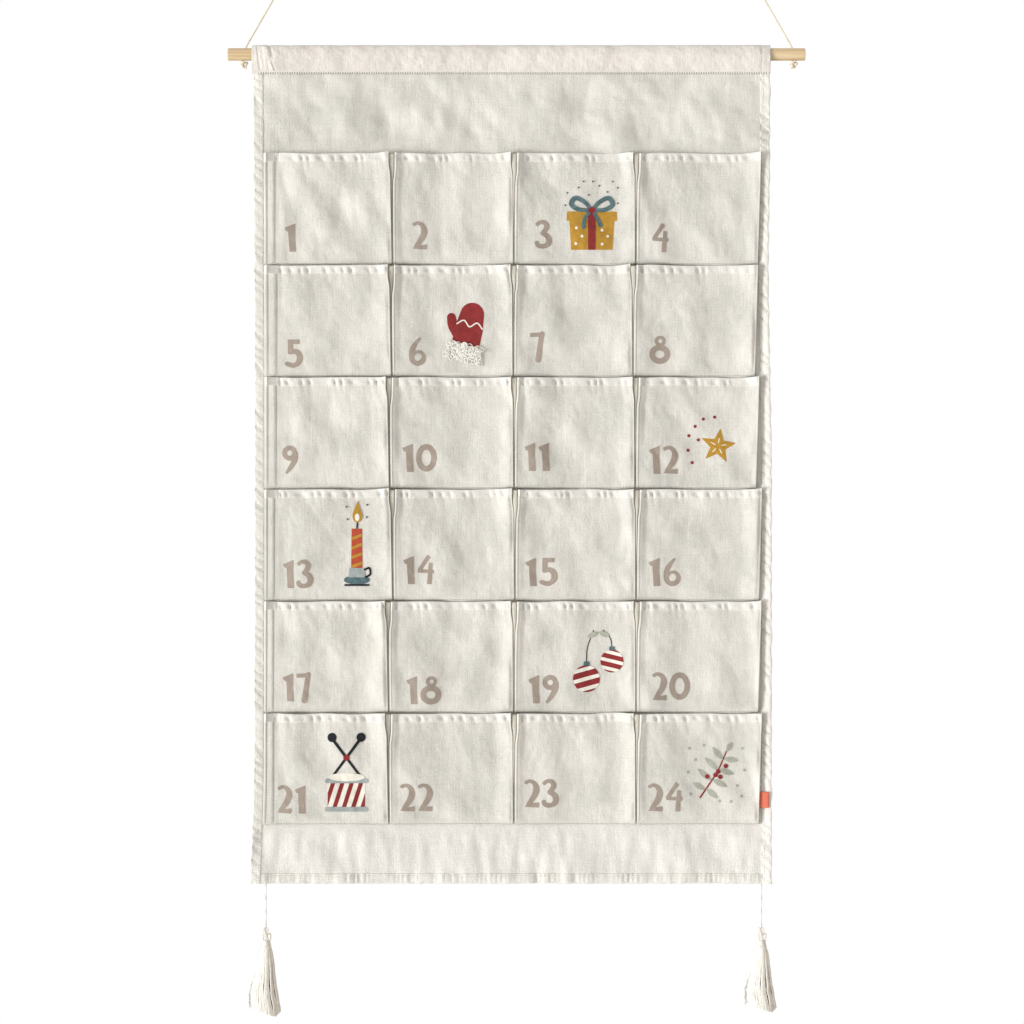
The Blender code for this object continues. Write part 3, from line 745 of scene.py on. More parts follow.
class PocketFolds:
    """A pocket's size and folds. Places on it are in millimetres from its left seam and its foot."""

    def __init__(self, number):
        low, high = (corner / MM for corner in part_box(f"pocket_{number:02d}"))
        self.row, self.column = divmod(number - 1, COLUMNS)
        self.left, self.foot = low.x, low.z
        self.height = high.z - low.z
        self.seed = 100 * number
        dice = random.Random(self.seed)
        self.plump = dice.uniform(0.90, 1.06)
        self.belly = dice.uniform(0.2, 1.0)
        self.lift = dice.uniform(0.5, 1.6)
        self.dents = []
        for _ in range(7):
            across, up = dice.uniform(16, 104), dice.uniform(10, 90)
            lean, reach = dice.uniform(-0.7, 1.1), dice.uniform(8, 30)
            self.dents.append((across, up, lean, reach, dice.uniform(3.4, 6.5), dice.uniform(-0.8, 0.7)))

    def swell(self, h):
        """How full the pocket is at a height: over half just above its foot, and all of it at the mouth."""
        share = np.clip(h / self.height, 0.0, 1.0)
        return 0.58 * (1.0 - np.exp(-share / 0.025)) + 0.46 * share**0.75

    def fold_line(self, h, column):
        """Where a column's right fold is, in millimetres from this pocket's left seam."""
        share = np.clip(h / self.height, 0.0, 1.0)
        pixels = RIGHT_FOLD_PIXELS[self.row][column] + MOUTH_DRIFT[column] * ease((share - 0.78) / 0.14)
        pixels = pixels + FOOT_DRIFT[column] * np.clip(1.0 - share / 0.77, 0.0, 1.0)
        x = (pixels - ROD_PIXEL[0]) * PIXEL
        return x - drawn_in(x, h + self.foot) - self.left

    def left_fold(self, h):
        if self.column == 0:
            x = (SIDE_FOLD_PIXELS[self.row] - ROD_PIXEL[0]) * PIXEL
            return x - drawn_in(x, h + self.foot) - self.left
        share = np.clip(h / self.height, 0.0, 1.0)
        return self.fold_line(h, self.column - 1) + 1.55 + 1.5 * share**2 + 2.8 * ease((share - 0.72) / 0.2)

    def right_fold(self, h):
        return self.fold_line(h, self.column)

    def at_corner(self, h):
        """1 in the hem's folded end, at the top of a pleat."""
        return ease((MOUTH_HEM - 0.4 - self.height + h) / 1.0)


print("folds were read in", len(RIGHT_FOLD_PIXELS), "rows of", len(RIGHT_FOLD_PIXELS[0]))

# %% [markdown]
# ## A pocket's front
# The front is a sum of simple rises: the ridge and the valley beside the left fold, the high right fold, a
# soft belly, small creases, a few dents, and the puckers of the hem along the mouth, which gapes a little. A
# front that would sink into the backing levels off softly at LOWEST, so that the two cloths don't cross.

# %% How far a front stands out
EDGE_STRENGTH = (0.8, 1.0, 1.0, 1.0)
BASE = 1.3
LOWEST = -0.4


class PocketFront(PocketFolds):
    """A pocket's front, between its two folds."""

    def front(self, x, h):
        """How far the front stands out from the seam, between the two folds. It levels off at LOWEST."""
        near, far = x - self.left_fold(h), self.right_fold(h) - x
        share, up = near / (near + far), np.clip(h / self.height, 0.0, 1.0)
        if self.column:
            shaded = 0.35 + 0.65 * up
            rise = 2.2 + 5.4 * (1.0 - ease(near / 66.0))
            rise = rise + 0.7 * ease(near / 1.7) - 0.95 * ease((near - 1.7) / 0.8)
            rise = rise - 3.2 * shaded * ease((near - 2.8) / 6.2)
            rise = rise - 0.6 * (self.column == COLUMNS - 1) * ease((near - 20.0) / 50.0)
        else:
            rise = 2.0 + 2.2 * ease(near / 22.0) - 1.3 * ease((near - 18.0) / 25.0)
        edge = 4.7 * (1.0 - ease(far / 19.0)) + 1.3 * ease(1.0 - far / 11.0)
        rise = rise + 0.4 * share + EDGE_STRENGTH[self.column] * edge + 0.4 * (1.0 - ease((far - 0.4) / 1.2))
        belly = self.belly * np.sin(math.pi * np.clip(share, 0.0, 1.0)) ** 1.5 * ease(h / self.height)
        if self.column:
            sunk = ease((near - 2.0) / 1.2) * (1.0 - ease((near - 6.4) / 1.2))
        else:
            sunk = 0.6 * ease(near / 2.9) * (1.0 - ease((near - 3.0) / 0.5))
        out = (rise + belly - 1.8 * self.at_corner(h) * sunk) * self.swell(h) * self.plump
        calm = ease((near - 2.0) / 9.0) * ease((far - 0.6) / 4.0) * ease(h / 8.0)
        u, v = x + self.left, h + self.foot
        soft = 0.95 * creases(u, v, 46.0, 0.35, 0.8, self.seed + 1)
        soft = soft + 0.07 * creases(u, v, 9.0, 0.15, 1.0, self.seed + 2)
        soft = soft + 0.30 * crumples(u, v, 34.0, 0.5, 0.9, self.seed + 6)
        for across, up, lean, reach, breadth, depth in self.dents:
            along = (x - across) * math.sin(lean) + (h - up) * math.cos(lean)
            aside = (x - across) * math.cos(lean) - (h - up) * math.sin(lean)
            soft = soft + depth * np.exp(-((along / reach) ** 2) - (aside / breadth) ** 2)
        gape = 1.5 * (self.column > 0) * ease((h - self.height + 24.0) / 22.0) * ease((near - 3.0) / 12.0)
        total = out + calm * soft + gape + self.mouth(x, h) - LOWEST
        return LOWEST + 0.5 * (total + np.sqrt(total**2 + 0.36))

    def mouth(self, x, h):
        """The doubled hem at the mouth, its line of stitches and its puckers."""
        below = self.height - h
        hem = 0.45 * ease((MOUTH_HEM + 0.5 - below) / 1.0)
        groove = -0.30 * np.exp(-(((below - MOUTH_HEM + 0.9) / 0.9) ** 2))
        phase = math.tau * (x / 10.6 - 0.025 * below) + 1.5 * creases(x, 0.0, 29.0, 0.0, 0.0, self.seed + 3)
        strength = np.clip(0.95 + 0.4 * creases(x, 0.0, 27.0, 0.0, 0.0, self.seed + 4), 0.35, 1.5)
        where = np.exp(-(((below - 4.7) / 2.7) ** 2)) + 0.14 * np.exp(-(((below - 12.0) / 5.0) ** 2))
        return hem + groove - 2.4 * strength * where * (0.5 + 0.5 * np.sin(phase)) ** 2.4

    def rise(self, x, h):
        """The mouth's edge isn't straight: it waves, and its right corner lifts."""
        near_mouth = np.clip(h / self.height, 0.0, 1.0) ** 8
        wave = 0.3 * creases(x, 0.0, 62.0, 0.0, 0.0, self.seed + 5)
        corner = self.lift * np.exp(-np.abs(self.right_fold(h) - x) / 9.0)
        return near_mouth * (wave + corner)

    def place(self, x, h, out):
        """A place on the pocket, in metres, at out from its seam."""
        return on_banner(self.left + x, self.foot + h + self.rise(x, h), BASE + out)


print("the pockets lie", BASE, "mm in front of the banner")

# %% [markdown]
# ## The whole strip
# A pocket's cloth goes on past both folds to the seams. The first pocket of a row has a wide flat pleat at
# its left, and at the others the cloth drops steeply into the pleat between two pockets. Rows of points lie
# closer at the foot and at the mouth, and columns closer at the folds, because the cloth bends most there.

# %% A pocket's form
SIDE_PLEAT_WIDTH = 12.2
SIDE_PLEAT = (
    (0.0, 0.0), (0.5, 1.3), (1.2, 2.1), (2.2, 2.3), (3.0, 2.0),
    (3.5, 1.2), (4.2, 1.45), (7.6, 1.9), (10.3, 2.6), (10.8, 1.5),
)
PLEAT_END = (0.0, 0.2, 1.5, 3.3, 4.2, 3.7, 3.4, 1.6, -0.2, 0.7)
FOOT_ROWS = (0.0, 0.6, 1.3, 2.2, 3.4, 4.8)
MOUTH_ROWS = (12.6, 11.4, 10.4, 9.7, 9.1, 8.5, 8.0, 7.4, 6.6, 5.8, 5.0, 4.2, 3.4, 2.6, 1.8, 1.0, 0.4, 0.0)
EDGE_COLUMNS = (0.0, 0.35, 0.7, 1.05, 1.45, 1.9, 2.4, 3.0, 3.8, 4.8, 6.0)


class PocketForm(PocketFront):
    """A pocket's cloth from seam to seam."""

    def side_pleat(self, h, near):
        """The pleat between the left seam and the left fold."""
        left, swell = self.left_fold(h), self.swell(h)
        if self.column:
            steps = ((-0.12, 0.0), (-0.08, 0.3), (-0.04, 0.62), (0.06, 0.88))
            across, out = [left + a for a, _ in steps], [near * b for _, b in steps]
        else:
            across = [left / SIDE_PLEAT_WIDTH * a for a, _ in SIDE_PLEAT]
            out = [swell * (b + self.at_corner(h) * c) for (_, b), c in zip(SIDE_PLEAT, PLEAT_END)]
        return np.concatenate(across, 1), np.concatenate(out, 1)

    def points(self):
        """The whole strip from seam to seam, row by row from the foot to the mouth."""
        up_the_front = np.arange(6.4, self.height - 13.0, 1.75)
        h = np.concatenate([FOOT_ROWS, up_the_front, self.height - np.array(MOUTH_ROWS)])[:, None]
        left, right = self.left_fold(h), self.right_fold(h)
        inner, outer = left + 0.2, right - 0.6
        ends = np.array(EDGE_COLUMNS)
        middle = inner + 7.1 + (outer - inner - 14.2) * np.linspace(0.0, 1.0, 79)[None, :]
        front_x = np.concatenate([inner + ends[None, :], middle, outer - ends[None, ::-1]], 1)
        front_out = self.front(front_x, h)
        near, far = front_out[:, :1], front_out[:, -1:]
        left_x, left_out = self.side_pleat(h, near)
        soft = np.minimum(self.swell(h), 1.0)
        edge = ((-0.25, 0.08), (-0.05, 0.3), (0.06, 0.8))
        right_x = [right + a for a, _ in edge] + [right + a for a in (0.08, 0.1, 0.12)]
        right_out = [far - b * soft for _, b in edge] + [far * b for b in (0.6, 0.3, 0.0)]
        x = np.concatenate([left_x, front_x, *right_x], 1)
        return self.place(x, h, np.concatenate([left_out, front_out, *right_out], 1)), h


forms = {number: PocketForm(number) for number in range(1, ROWS * COLUMNS + 1)}
print("a pocket is a grid of", forms[1].points()[0].shape[:2], "points")

# %% [markdown]
# ## Sewing the pockets on
# A pocket opens about its foot, but its pleats stay sewn to the banner at the seams. Each pocket has a
# front, which goes with it, and a gusset inside each side edge. A gusset is sewn to the banner along one
# edge and to the front along the other.


def sewn_on(obj, number):
    """Makes a piece go with a pocket's front."""
    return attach(obj, f"pocket_{number:02d}")


def gusset(number, side, x, h, cover):
    """The cloth between the banner and a pocket's side edge, under a front that stands out by cover."""
    top = cover - 0.75
    out = np.concatenate([0.0 * h - 0.6, 0.0 * h - 0.1, np.minimum(top, 0.7), top], 1)
    points = forms[number].place(x, h, out)
    piece = cloth_piece(f"pocket_{number:02d}_gusset_{side}", points, cotton, 0.4 * MM)
    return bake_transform(piece)


for number, form in forms.items():
    points, heights = form.points()
    cloth = new_object(f"pocket_{number:02d}_cloth", grid_mesh("strip", points), cotton)
    cloth.data.materials.append(doubled_cotton)
    in_hem = (heights[:-1, 0] > form.height - MOUTH_HEM).repeat(points.shape[1] - 1)
    cloth.data.polygons.foreach_set("material_index", in_hem.astype(np.int32))
    thicken(cloth, 0.65 * MM)
    sewn_on(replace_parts(cloth, f"pocket_{number:02d}"), number)
    h = np.linspace(4.0, form.height - 0.8, 50)[:, None]
    left, right = form.left_fold(h) + 1.3, form.right_fold(h) - 1.9
    left, over = (left, form.front(left, h)) if form.column else (2.4 + 0.0 * h, 2.3 * form.swell(h))
    gussets = [gusset(number, "left", left, h, over), gusset(number, "right", right, h, form.front(right, h))]

# %% [markdown]
# ## The folds between the pockets
# Between two pockets the pleat's inner fold shows as a narrow strip that closes towards the foot. It stays
# on the banner when a pocket opens. Each row has three, and all of them are one piece of doubled cloth. Its
# darker, warmer finish is painted shade.

# %% Inner folds of the pleats
FOLD_SECTION = (
    (0.0, 0.2), (0.02, 4.7), (0.12, 5.6), (0.3, 5.9), (0.5, 6.0),
    (0.7, 6.0), (0.88, 5.7), (0.98, 4.9), (1.0, 0.2),
)
fold_points, fold_faces = [], []
for number, form in forms.items():
    if form.column == COLUMNS - 1:
        continue
    following = forms[number + 1]
    h = np.linspace(0.8, form.height - 0.5, 60)[:, None]
    start = form.right_fold(h) + 0.42
    end = following.left - form.left + following.left_fold(h) - 0.4
    across = start + np.maximum(end - start, 0.5) * np.array([[a for a, _ in FOLD_SECTION]])
    out = form.swell(h) * np.array([[b for _, b in FOLD_SECTION]]) * (0.93 + 0.07 * np.sin(h / 13.0 + number))
    grid = on_banner(form.left + across, form.foot + h, BASE + out)
    fold_faces.extend(grid_faces(*grid.shape[:2], len(fold_points)).tolist())
    fold_points.extend(grid.reshape(-1, 3).tolist())
fold_mesh = bpy.data.meshes.new("pleat_folds")
fold_mesh.from_pydata(fold_points, [], fold_faces)
map_cloth(fold_mesh, np.array(fold_points)[:, [0, 2]], np.array(fold_faces))
fold_mesh.shade_smooth()
folds = thicken(new_object("pleat_folds", fold_mesh, painted_shade_pleat_cotton), 0.5 * MM)
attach(folds, "panel")
print("pleat folds:", len(folds.data.polygons), "faces")

# %% [markdown]
# ## Trees of geometry nodes
# Geometry Nodes make what repeats along a path. A tree is written with two helpers, as a finish is: one
# starts a tree with named inputs, and the other adds a node with its settings and links. Every tree ends by
# making its copies real, because an export can't carry copies, and by giving them a finish.


# %% Starting and ending a tree
def new_tree(name, sizes):
    """An empty Geometry Nodes tree with named inputs."""
    tree = bpy.data.node_groups.new(name, "GeometryNodeTree")
    tree.is_modifier = True
    tree.interface.new_socket("Lines", in_out="INPUT", socket_type="NodeSocketGeometry")
    for socket, value in sizes.items():
        kind = "NodeSocketInt" if isinstance(value, int) else "NodeSocketFloat"
        tree.interface.new_socket(socket, in_out="INPUT", socket_type=kind).default_value = value
    tree.interface.new_socket("Finish", in_out="INPUT", socket_type="NodeSocketMaterial")
    tree.interface.new_socket("Made", in_out="OUTPUT", socket_type="NodeSocketGeometry")
    return tree, tree.nodes.new("NodeGroupInput"), tree.nodes.new("NodeGroupOutput")


def add(tree, kind, settings=None, inputs=None):
    """A node of a Geometry Nodes tree, with its settings and its inputs: values, sockets or whole nodes."""
    node = tree.nodes.new(kind)
    for name, value in (settings or {}).items():
        setattr(node, name, value)
    for name, value in (inputs or {}).items():
        value = value.outputs[0] if isinstance(value, bpy.types.Node) else value
        if isinstance(value, bpy.types.NodeSocket):
            tree.links.new(value, node.inputs[name])
        else:
            node.inputs[name].default_value = value
    return node


def finish_tree(tree, start, end, made):
    """Makes a tree's copies real and gives them their finish."""
    real = add(tree, "GeometryNodeRealizeInstances", None, {0: made})
    worn = {"Geometry": real, "Material": start.outputs["Finish"]}
    tree.links.new(add(tree, "GeometryNodeSetMaterial", None, worn).outputs[0], end.inputs[0])
    return tree


print("geometry trees so far:", len(bpy.data.node_groups))

# %% [markdown]
# ## Stitches
# A line of stitches is many copies of one short thread along a path. The tree takes lines drawn on the
# cloth, puts a thread at each step and turns it along the line. Each line is a mesh of edges only, which
# becomes the finished stitches.


# %% Stitch tree
def stitch_tree():
    """A short thread, thick in the middle, at each step along the lines."""
    tree, start, end = new_tree("stitches", {"Pitch": 2.4 * MM, "Length": 1.6 * MM, "Thread": 0.62 * MM})
    given = start.outputs
    curve = add(tree, "GeometryNodeMeshToCurve", None, {0: given["Lines"]})
    spacing = {"Curve": curve, "Length": given["Pitch"]}
    steps = add(tree, "GeometryNodeResampleCurve", {"mode": "LENGTH"}, spacing)
    bead = add(tree, "GeometryNodeMeshUVSphere", None, {"Segments": 6, "Rings": 4, "Radius": 0.5})
    sizes = {0: given["Thread"], 1: given["Thread"], 2: given["Length"]}
    size = add(tree, "ShaderNodeCombineXYZ", None, sizes)
    tangent = add(tree, "GeometryNodeInputTangent")
    turn = add(tree, "FunctionNodeAlignRotationToVector", {"axis": "Z"}, {"Vector": tangent})
    placing = {"Points": steps, "Instance": bead, "Rotation": turn, "Scale": size}
    return finish_tree(tree, start, end, add(tree, "GeometryNodeInstanceOnPoints", None, placing))


def line_object(name, lines):
    """A mesh of edges only, one chain for each line of points."""
    points, edges = [], []
    for line in lines:
        first = len(points)
        points.extend([tuple(point) for point in line])
        edges.extend((first + i, first + i + 1) for i in range(len(line) - 1))
    mesh = bpy.data.meshes.new(name)
    mesh.from_pydata(points, edges, [])
    return new_object(name, mesh)


def grown(obj, tree, values):
    """Runs a tree on an object and keeps what it makes as plain mesh."""
    modifier = obj.modifiers.new(tree.name, "NODES")
    modifier.node_group = tree
    for socket in tree.interface.items_tree:
        if socket.in_out == "INPUT" and socket.name in values:
            modifier[socket.identifier] = values[socket.name]
    settle(obj)
    obj.data.shade_smooth()
    return obj


stitches = stitch_tree()
print("stitch tree has", len(stitches.nodes), "nodes")

# %% [markdown]
# ## Where the banner is sewn
# Each pocket has a line of stitches under its mouth and one along its foot. The foot's thread is coarser,
# and its darker finish is painted shade where the seam pulls it in.


# %% Pockets' stitches
def row_of_stitches(name, lines, finish, pitch=2.4, length=1.6, thread=0.62):
    """Stitches along lines of points. Their sizes are in millimetres."""
    values = {"Finish": finish, "Pitch": pitch * MM, "Length": length * MM, "Thread": thread * MM}
    return grown(line_object(name, lines), stitches, values)


for number, form in forms.items():
    mouth_line = form.height - MOUTH_HEM + 0.9
    x = np.arange(form.left_fold(mouth_line) + 1.0, form.right_fold(mouth_line) - 0.8, 1.2)
    line = form.place(x, mouth_line, form.front(x, mouth_line) + 0.1)
    sewing = row_of_stitches(f"pocket_{number:02d}_stitches", [line], thread_fibre)
    sewn_on(sewing, number)
    x = np.arange(form.left_fold(1.0) + 1.0, form.right_fold(1.0) - 0.8, 1.2)
    line = form.place(x, 1.0, form.front(x, 1.0) + 0.05)
    # the foot's darker thread is painted shade
    sewing = row_of_stitches(f"pocket_{number:02d}_foot_shade_stitches", [line], shade_painted_thread, 2.5, 1.5, 0.8)
    sewn_on(sewing, number)
print("pocket stitches:", 2 * len(forms), "rows")

# %% [markdown]
# ## Stitches on the banner and its back
# The hems and the pleats' seams have their stitches on the banner itself. They and the pockets' feet show on
# its back too, where the thread is thicker and its darker finish is painted shade.

# %% Banner's stitches
ON_BACK = -1.1
seams = sorted({round(form.left, 3) for form in forms.values()})[1:]
down_sides = np.arange(panel_low.z + 3.0, panel_high.z - 1.0, 1.2)
across_foot = np.arange(panel_low.x + HEM + 1.0, panel_high.x - HEM - 1.0, 1.2)
down_seams = np.arange(last_foot, first_mouth, 2.0)
beside_hems = (panel_low.x + HEM_SEAM, panel_high.x - HEM_SEAM)
banner_lines = [on_banner(x, down_sides, 1.15) for x in beside_hems]
banner_lines.append(on_banner(across_foot, panel_low.z + HEM_SEAM, 1.15))
banner_lines += [on_banner(x, down_seams, BASE + 0.1) for x in seams]
banner_sewing = row_of_stitches("banner_stitches", banner_lines, thread_fibre)
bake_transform(banner_sewing)

between_hems = np.arange(panel_low.x + 10.0, panel_high.x - 10.0, 2.0)
back_lines = [on_banner(x, down_seams, ON_BACK) for x in seams]
back_lines += [on_banner(x, down_sides, ON_BACK) for x in beside_hems]
back_lines.append(on_banner(across_foot, panel_low.z + HEM_SEAM, ON_BACK))
feet = [form.foot for form in forms.values() if form.column == 0]
back_lines += [on_banner(between_hems, foot + 1.5, ON_BACK) for foot in feet]
# the back's darker thread is painted shade
back_shade_sewing = row_of_stitches("back_shade_stitches", back_lines, shade_painted_thread, 2.6, 1.7, 1.0)
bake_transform(back_shade_sewing)
print("stitch faces, front and back:", len(banner_sewing.data.polygons), len(back_shade_sewing.data.polygons))

# %% [markdown]
# ## The sleeve's seam
# The sleeve's seam is coarse: its needle left wide holes in shade, drawn as dark beads of painted shade, and
# light thread lies between them. Both come from the same tree, half a step apart.

# %% Sleeve's seam
SEAM_PITCH = 2.32
sleeve_front = section[: len(section) // 3]
seam_out = np.interp(SEAM_HEIGHT, sleeve_front[:, 1], sleeve_front[:, 0])
x = np.arange(sleeve_low.x + 8.0, sleeve_high.x - 3.0, SEAM_PITCH / 2)
holes = np.stack(np.broadcast_arrays(x, seam_out + 0.5, SEAM_HEIGHT), -1) * MM
threads = np.stack(np.broadcast_arrays(x + SEAM_PITCH / 2, seam_out + 0.2, SEAM_HEIGHT), -1) * MM
# dark beads of painted shade where the needle holes are
sleeve_hole_shade_beads = row_of_stitches("sleeve_hole_shade", [holes], shade_painted_thread, SEAM_PITCH, 1.0, 2.6)
sleeve_thread = row_of_stitches("sleeve_thread", [threads], hem_cotton, SEAM_PITCH, 1.3, 1.9)
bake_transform(sleeve_thread)
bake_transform(sleeve_hole_shade_beads)
print("sleeve's seam:", len(holes), "points,", len(sleeve_hole_shade_beads.data.polygons), "faces")

# %% [markdown]
# ## Flat shapes
# Numerals and ornaments are thin flat shapes on a pocket's front. They could be filled outlines, but a shape
# is easier to build up as a function of the place that is negative inside it, such as the distance to a
# brush stroke less half its width. Two shapes join with a minimum, and what they have in common is a
# maximum.


# %% Strokes, ovals and polygons
def stroke(points, *widths, round_ends=False):
    """A brush stroke through points, as a function of x and z. Widths are spread evenly along the points."""
    line = [Vector((a, b, 0.0)) for a, b in points]
    line = smooth_route(line, 1.0) if len(line) > 2 else line
    widths = widths * 2 if len(widths) == 1 else widths
    half = np.interp(np.linspace(0.0, 1.0, len(line)), np.linspace(0.0, 1.0, len(widths)), widths) / 2

    def inside(x, z):
        best = np.full(x.shape, 1e3)
        for i, (a, b) in enumerate(zip(line, line[1:])):
            run, rise = b.x - a.x, b.y - a.y
            size = math.hypot(run, rise)
            if size < 1e-6:
                continue
            t = ((x - a.x) * run + (z - a.y) * rise) / size**2
            held = np.clip(t, 0.0, 1.0)
            distance = np.hypot(x - a.x - held * run, z - a.y - held * rise)
            value = distance - half[i] - (half[i + 1] - half[i]) * held
            if not round_ends:
                value = np.maximum(value, -t * size) if i == 0 else value
                value = np.maximum(value, (t - 1.0) * size) if i == len(line) - 2 else value
            best = np.minimum(best, value)
        return best

    return inside


def oval(middle, across, up):
    """The inside of an ellipse of these half sizes."""
    return lambda x, z: (np.hypot((x - middle[0]) / across, (z - middle[1]) / up) - 1.0) * min(across, up)


def polygon(corners):
    """The inside of a polygon."""

    def inside(x, z):
        best = np.full(x.shape, 1e3)
        crossings = np.zeros(x.shape, bool)
        for (ax, az), (bx, bz) in zip(corners, corners[1:] + corners[:1]):
            run, rise = bx - ax, bz - az
            t = np.clip(((x - ax) * run + (z - az) * rise) / (run * run + rise * rise), 0.0, 1.0)
            best = np.minimum(best, np.hypot(x - ax - t * run, z - az - t * rise))
            if rise:
                crossings ^= ((az > z) != (bz > z)) & (x < ax + (z - az) * run / rise)
        return np.where(crossings, -best, best)

    return inside


def united(*shapes):
    """Everything that is in any of the shapes."""
    return lambda x, z: np.minimum.reduce([shape(x, z) for shape in shapes])


def common(*shapes):
    """What is in all of the shapes."""
    return lambda x, z: np.maximum.reduce([shape(x, z) for shape in shapes])


print("the middle of a 2 mm dot is", round(float(oval((0, 0), 1, 1)(0.0, 0.0)), 2), "mm inside it")

# %% [markdown]
# ## Cutting shapes and laying them on
# The cutter walks over a fine grid and keeps the parts of its squares that are inside a shape. What it cut
# is laid on the pocket's own surface, so that it follows every fold, with a thin edge that goes down into
# the cloth.


# %% Cutter
def cut_shape(shape, low, high, step):
    """Points and faces that cover the inside of a shape within a box."""
    xs, zs = np.arange(low[0], high[0] + step, step), np.arange(low[1], high[1] + step, step)
    x, z = np.meshgrid(xs, zs)
    value = shape(x, z)
    points, index, faces = [], {}, []

    def point(key, place):
        if key not in index:
            index[key] = len(points)
            points.append(place)
        return index[key]

    some = (value < 0)[:-1, :-1] | (value < 0)[:-1, 1:] | (value < 0)[1:, 1:] | (value < 0)[1:, :-1]
    for i, j in zip(*np.nonzero(some)):
        corners = ((i, j), (i, j + 1), (i + 1, j + 1), (i + 1, j))
        ring = []
        for a, b in zip(corners, corners[1:] + corners[:1]):
            if value[a] < 0:
                ring.append(point(a, (x[a], z[a])))
            if (value[a] < 0) != (value[b] < 0):
                t = np.clip(value[a] / (value[a] - value[b]), 0.05, 0.95)
                place = (x[a] + t * (x[b] - x[a]), z[a] + t * (z[b] - z[a]))
                ring.append(point((min(a, b), max(a, b)), place))
        if len(ring) > 2:
            faces.append(ring)
    return np.array(points), faces


def lay_on(form, layers, name):
    """A mesh of thin slabs on a pocket's front. Each layer is (shape, box, step, thickness, finish)."""
    points, faces, slots, finishes = [], [], [], []
    for shape, (low, high), step, thickness, finish in layers:
        flat, cells = cut_shape(shape, low, high, step)
        x, h = flat[:, 0] - form.left, flat[:, 1] - form.foot
        front = form.front(x, h)
        upper, under = form.place(x, h, front + thickness), form.place(x, h, front - 0.15)
        first, second = len(points), len(points) + len(flat)
        points.extend(upper.tolist() + under.tolist())
        edges = {}
        for cell in cells:
            faces.append([first + k for k in cell])
            faces.append([second + k for k in reversed(cell)])
            for a, b in zip(cell, cell[1:] + cell[:1]):
                edges[(a, b)] = edges.get((a, b), 0) + 1
        rim = [(a, b) for a, b in edges if (b, a) not in edges]
        faces.extend([first + b, first + a, second + a, second + b] for a, b in rim)
        if finish not in finishes:
            finishes.append(finish)
        slots.extend([finishes.index(finish)] * (2 * len(cells) + len(rim)))
    mesh = bpy.data.meshes.new(name)
    mesh.from_pydata(points, [], faces)
    for finish in finishes:
        mesh.materials.append(finish)
    mesh.polygons.foreach_set("material_index", slots)
    return new_object(name, mesh)


print("a 2 mm dot is cut into", len(cut_shape(oval((0, 0), 1, 1), (-1.5, -1.5), (1.5, 1.5), 0.5)[1]), "faces")

# %% [markdown]
# ## Numerals
# The numbers are printed in one dull pinkish brown, in a friendly hand that looks drawn with a flat brush.
# Each digit is a few strokes in a box one unit high. The print sits in the weave, so its finish lets some
# cloth through.

# %% Digits as strokes
DIGIT_HEIGHT = 27.3


def bowl(middle, across, up, width):
    """A closed ring, drawn as one stroke."""
    turns = [math.tau * i / 16 for i in range(17)]
    return [(middle[0] + across * math.sin(t), middle[1] + up * math.cos(t)) for t in turns], (width,)


DIGITS = {
    "0": (0.72, [bowl((0.36, 0.5), 0.27, 0.39, 0.195)], []),
    "1": (0.42, [], [
        [(0.0, 0.84), (0.38, 1.0), (0.375, 0.5), (0.41, 0.0), (0.17, 0.0), (0.13, 0.71), (0.06, 0.73)],
    ]),
    "2": (0.55, [(
        [(0.04, 0.87), (0.19, 0.935), (0.345, 0.87), (0.43, 0.69), (0.385, 0.47), (0.26, 0.27), (0.13, 0.10)],
        (0.125, 0.12, 0.17, 0.23, 0.21, 0.175, 0.13),
    )], [[(0.02, 0.03), (0.14, 0.18), (0.27, 0.15), (0.53, 0.185), (0.52, 0.0)]]),
    "3": (0.58, [(
        [(0.06, 0.84), (0.17, 0.925), (0.33, 0.925), (0.42, 0.80), (0.36, 0.65), (0.23, 0.53)],
        (0.14, 0.13, 0.16, 0.19, 0.165, 0.12),
    ), (
        [(0.23, 0.545), (0.42, 0.46), (0.50, 0.30), (0.44, 0.14), (0.27, 0.075), (0.10, 0.12), (0.06, 0.24)],
        (0.12, 0.18, 0.21, 0.20, 0.155, 0.165, 0.15),
    )], []),
    "4": (0.60, [
        ([(0.42, 1.0), (0.06, 0.47)], (0.15, 0.13)),
        ([(0.02, 0.47), (0.59, 0.44)], (0.12,)),
        ([(0.48, 0.75), (0.43, 0.0)], (0.14, 0.16)),
    ], []),
    "5": (0.62, [
        ([(0.11, 0.92), (0.53, 0.92)], (0.155,)),
        ([(0.20, 0.995), (0.205, 0.52)], (0.185,)), (
        [(0.14, 0.535), (0.38, 0.575), (0.53, 0.43), (0.50, 0.21), (0.33, 0.085), (0.15, 0.12), (0.04, 0.16)],
        (0.14, 0.165, 0.21, 0.22, 0.17, 0.165, 0.14),
    )], []),
    "6": (0.66, [([
        (0.44, 0.985), (0.29, 0.82), (0.155, 0.58), (0.12, 0.35), (0.17, 0.16), (0.33, 0.08),
        (0.50, 0.16), (0.555, 0.33), (0.44, 0.48), (0.28, 0.48), (0.18, 0.38),
    ], (0.06, 0.13, 0.17, 0.19, 0.18, 0.155, 0.185, 0.17, 0.125, 0.10, 0.10))], []),
    "7": (0.52, [
        ([(0.0, 0.905), (0.50, 0.93)], (0.145,)),
        ([(0.43, 0.985), (0.36, 0.54), (0.285, 0.0)], (0.17, 0.185, 0.21)),
    ], []),
    "8": (0.77, [bowl((0.40, 0.80), 0.135, 0.14, 0.115), bowl((0.38, 0.335), 0.27, 0.24, 0.20)], []),
    "9": (0.60, [
        bowl((0.28, 0.735), 0.185, 0.185, 0.17),
        ([(0.49, 0.74), (0.47, 0.52), (0.34, 0.26), (0.15, 0.02)], (0.18, 0.20, 0.165, 0.09)),
    ], []),
}
print("digits drawn:", " ".join(DIGITS))

# %% [markdown]
# ## Printing the numerals
# The lower left corner of each number was read off the photograph. A number's shape is its digits side by
# side, laid on its pocket as one piece.

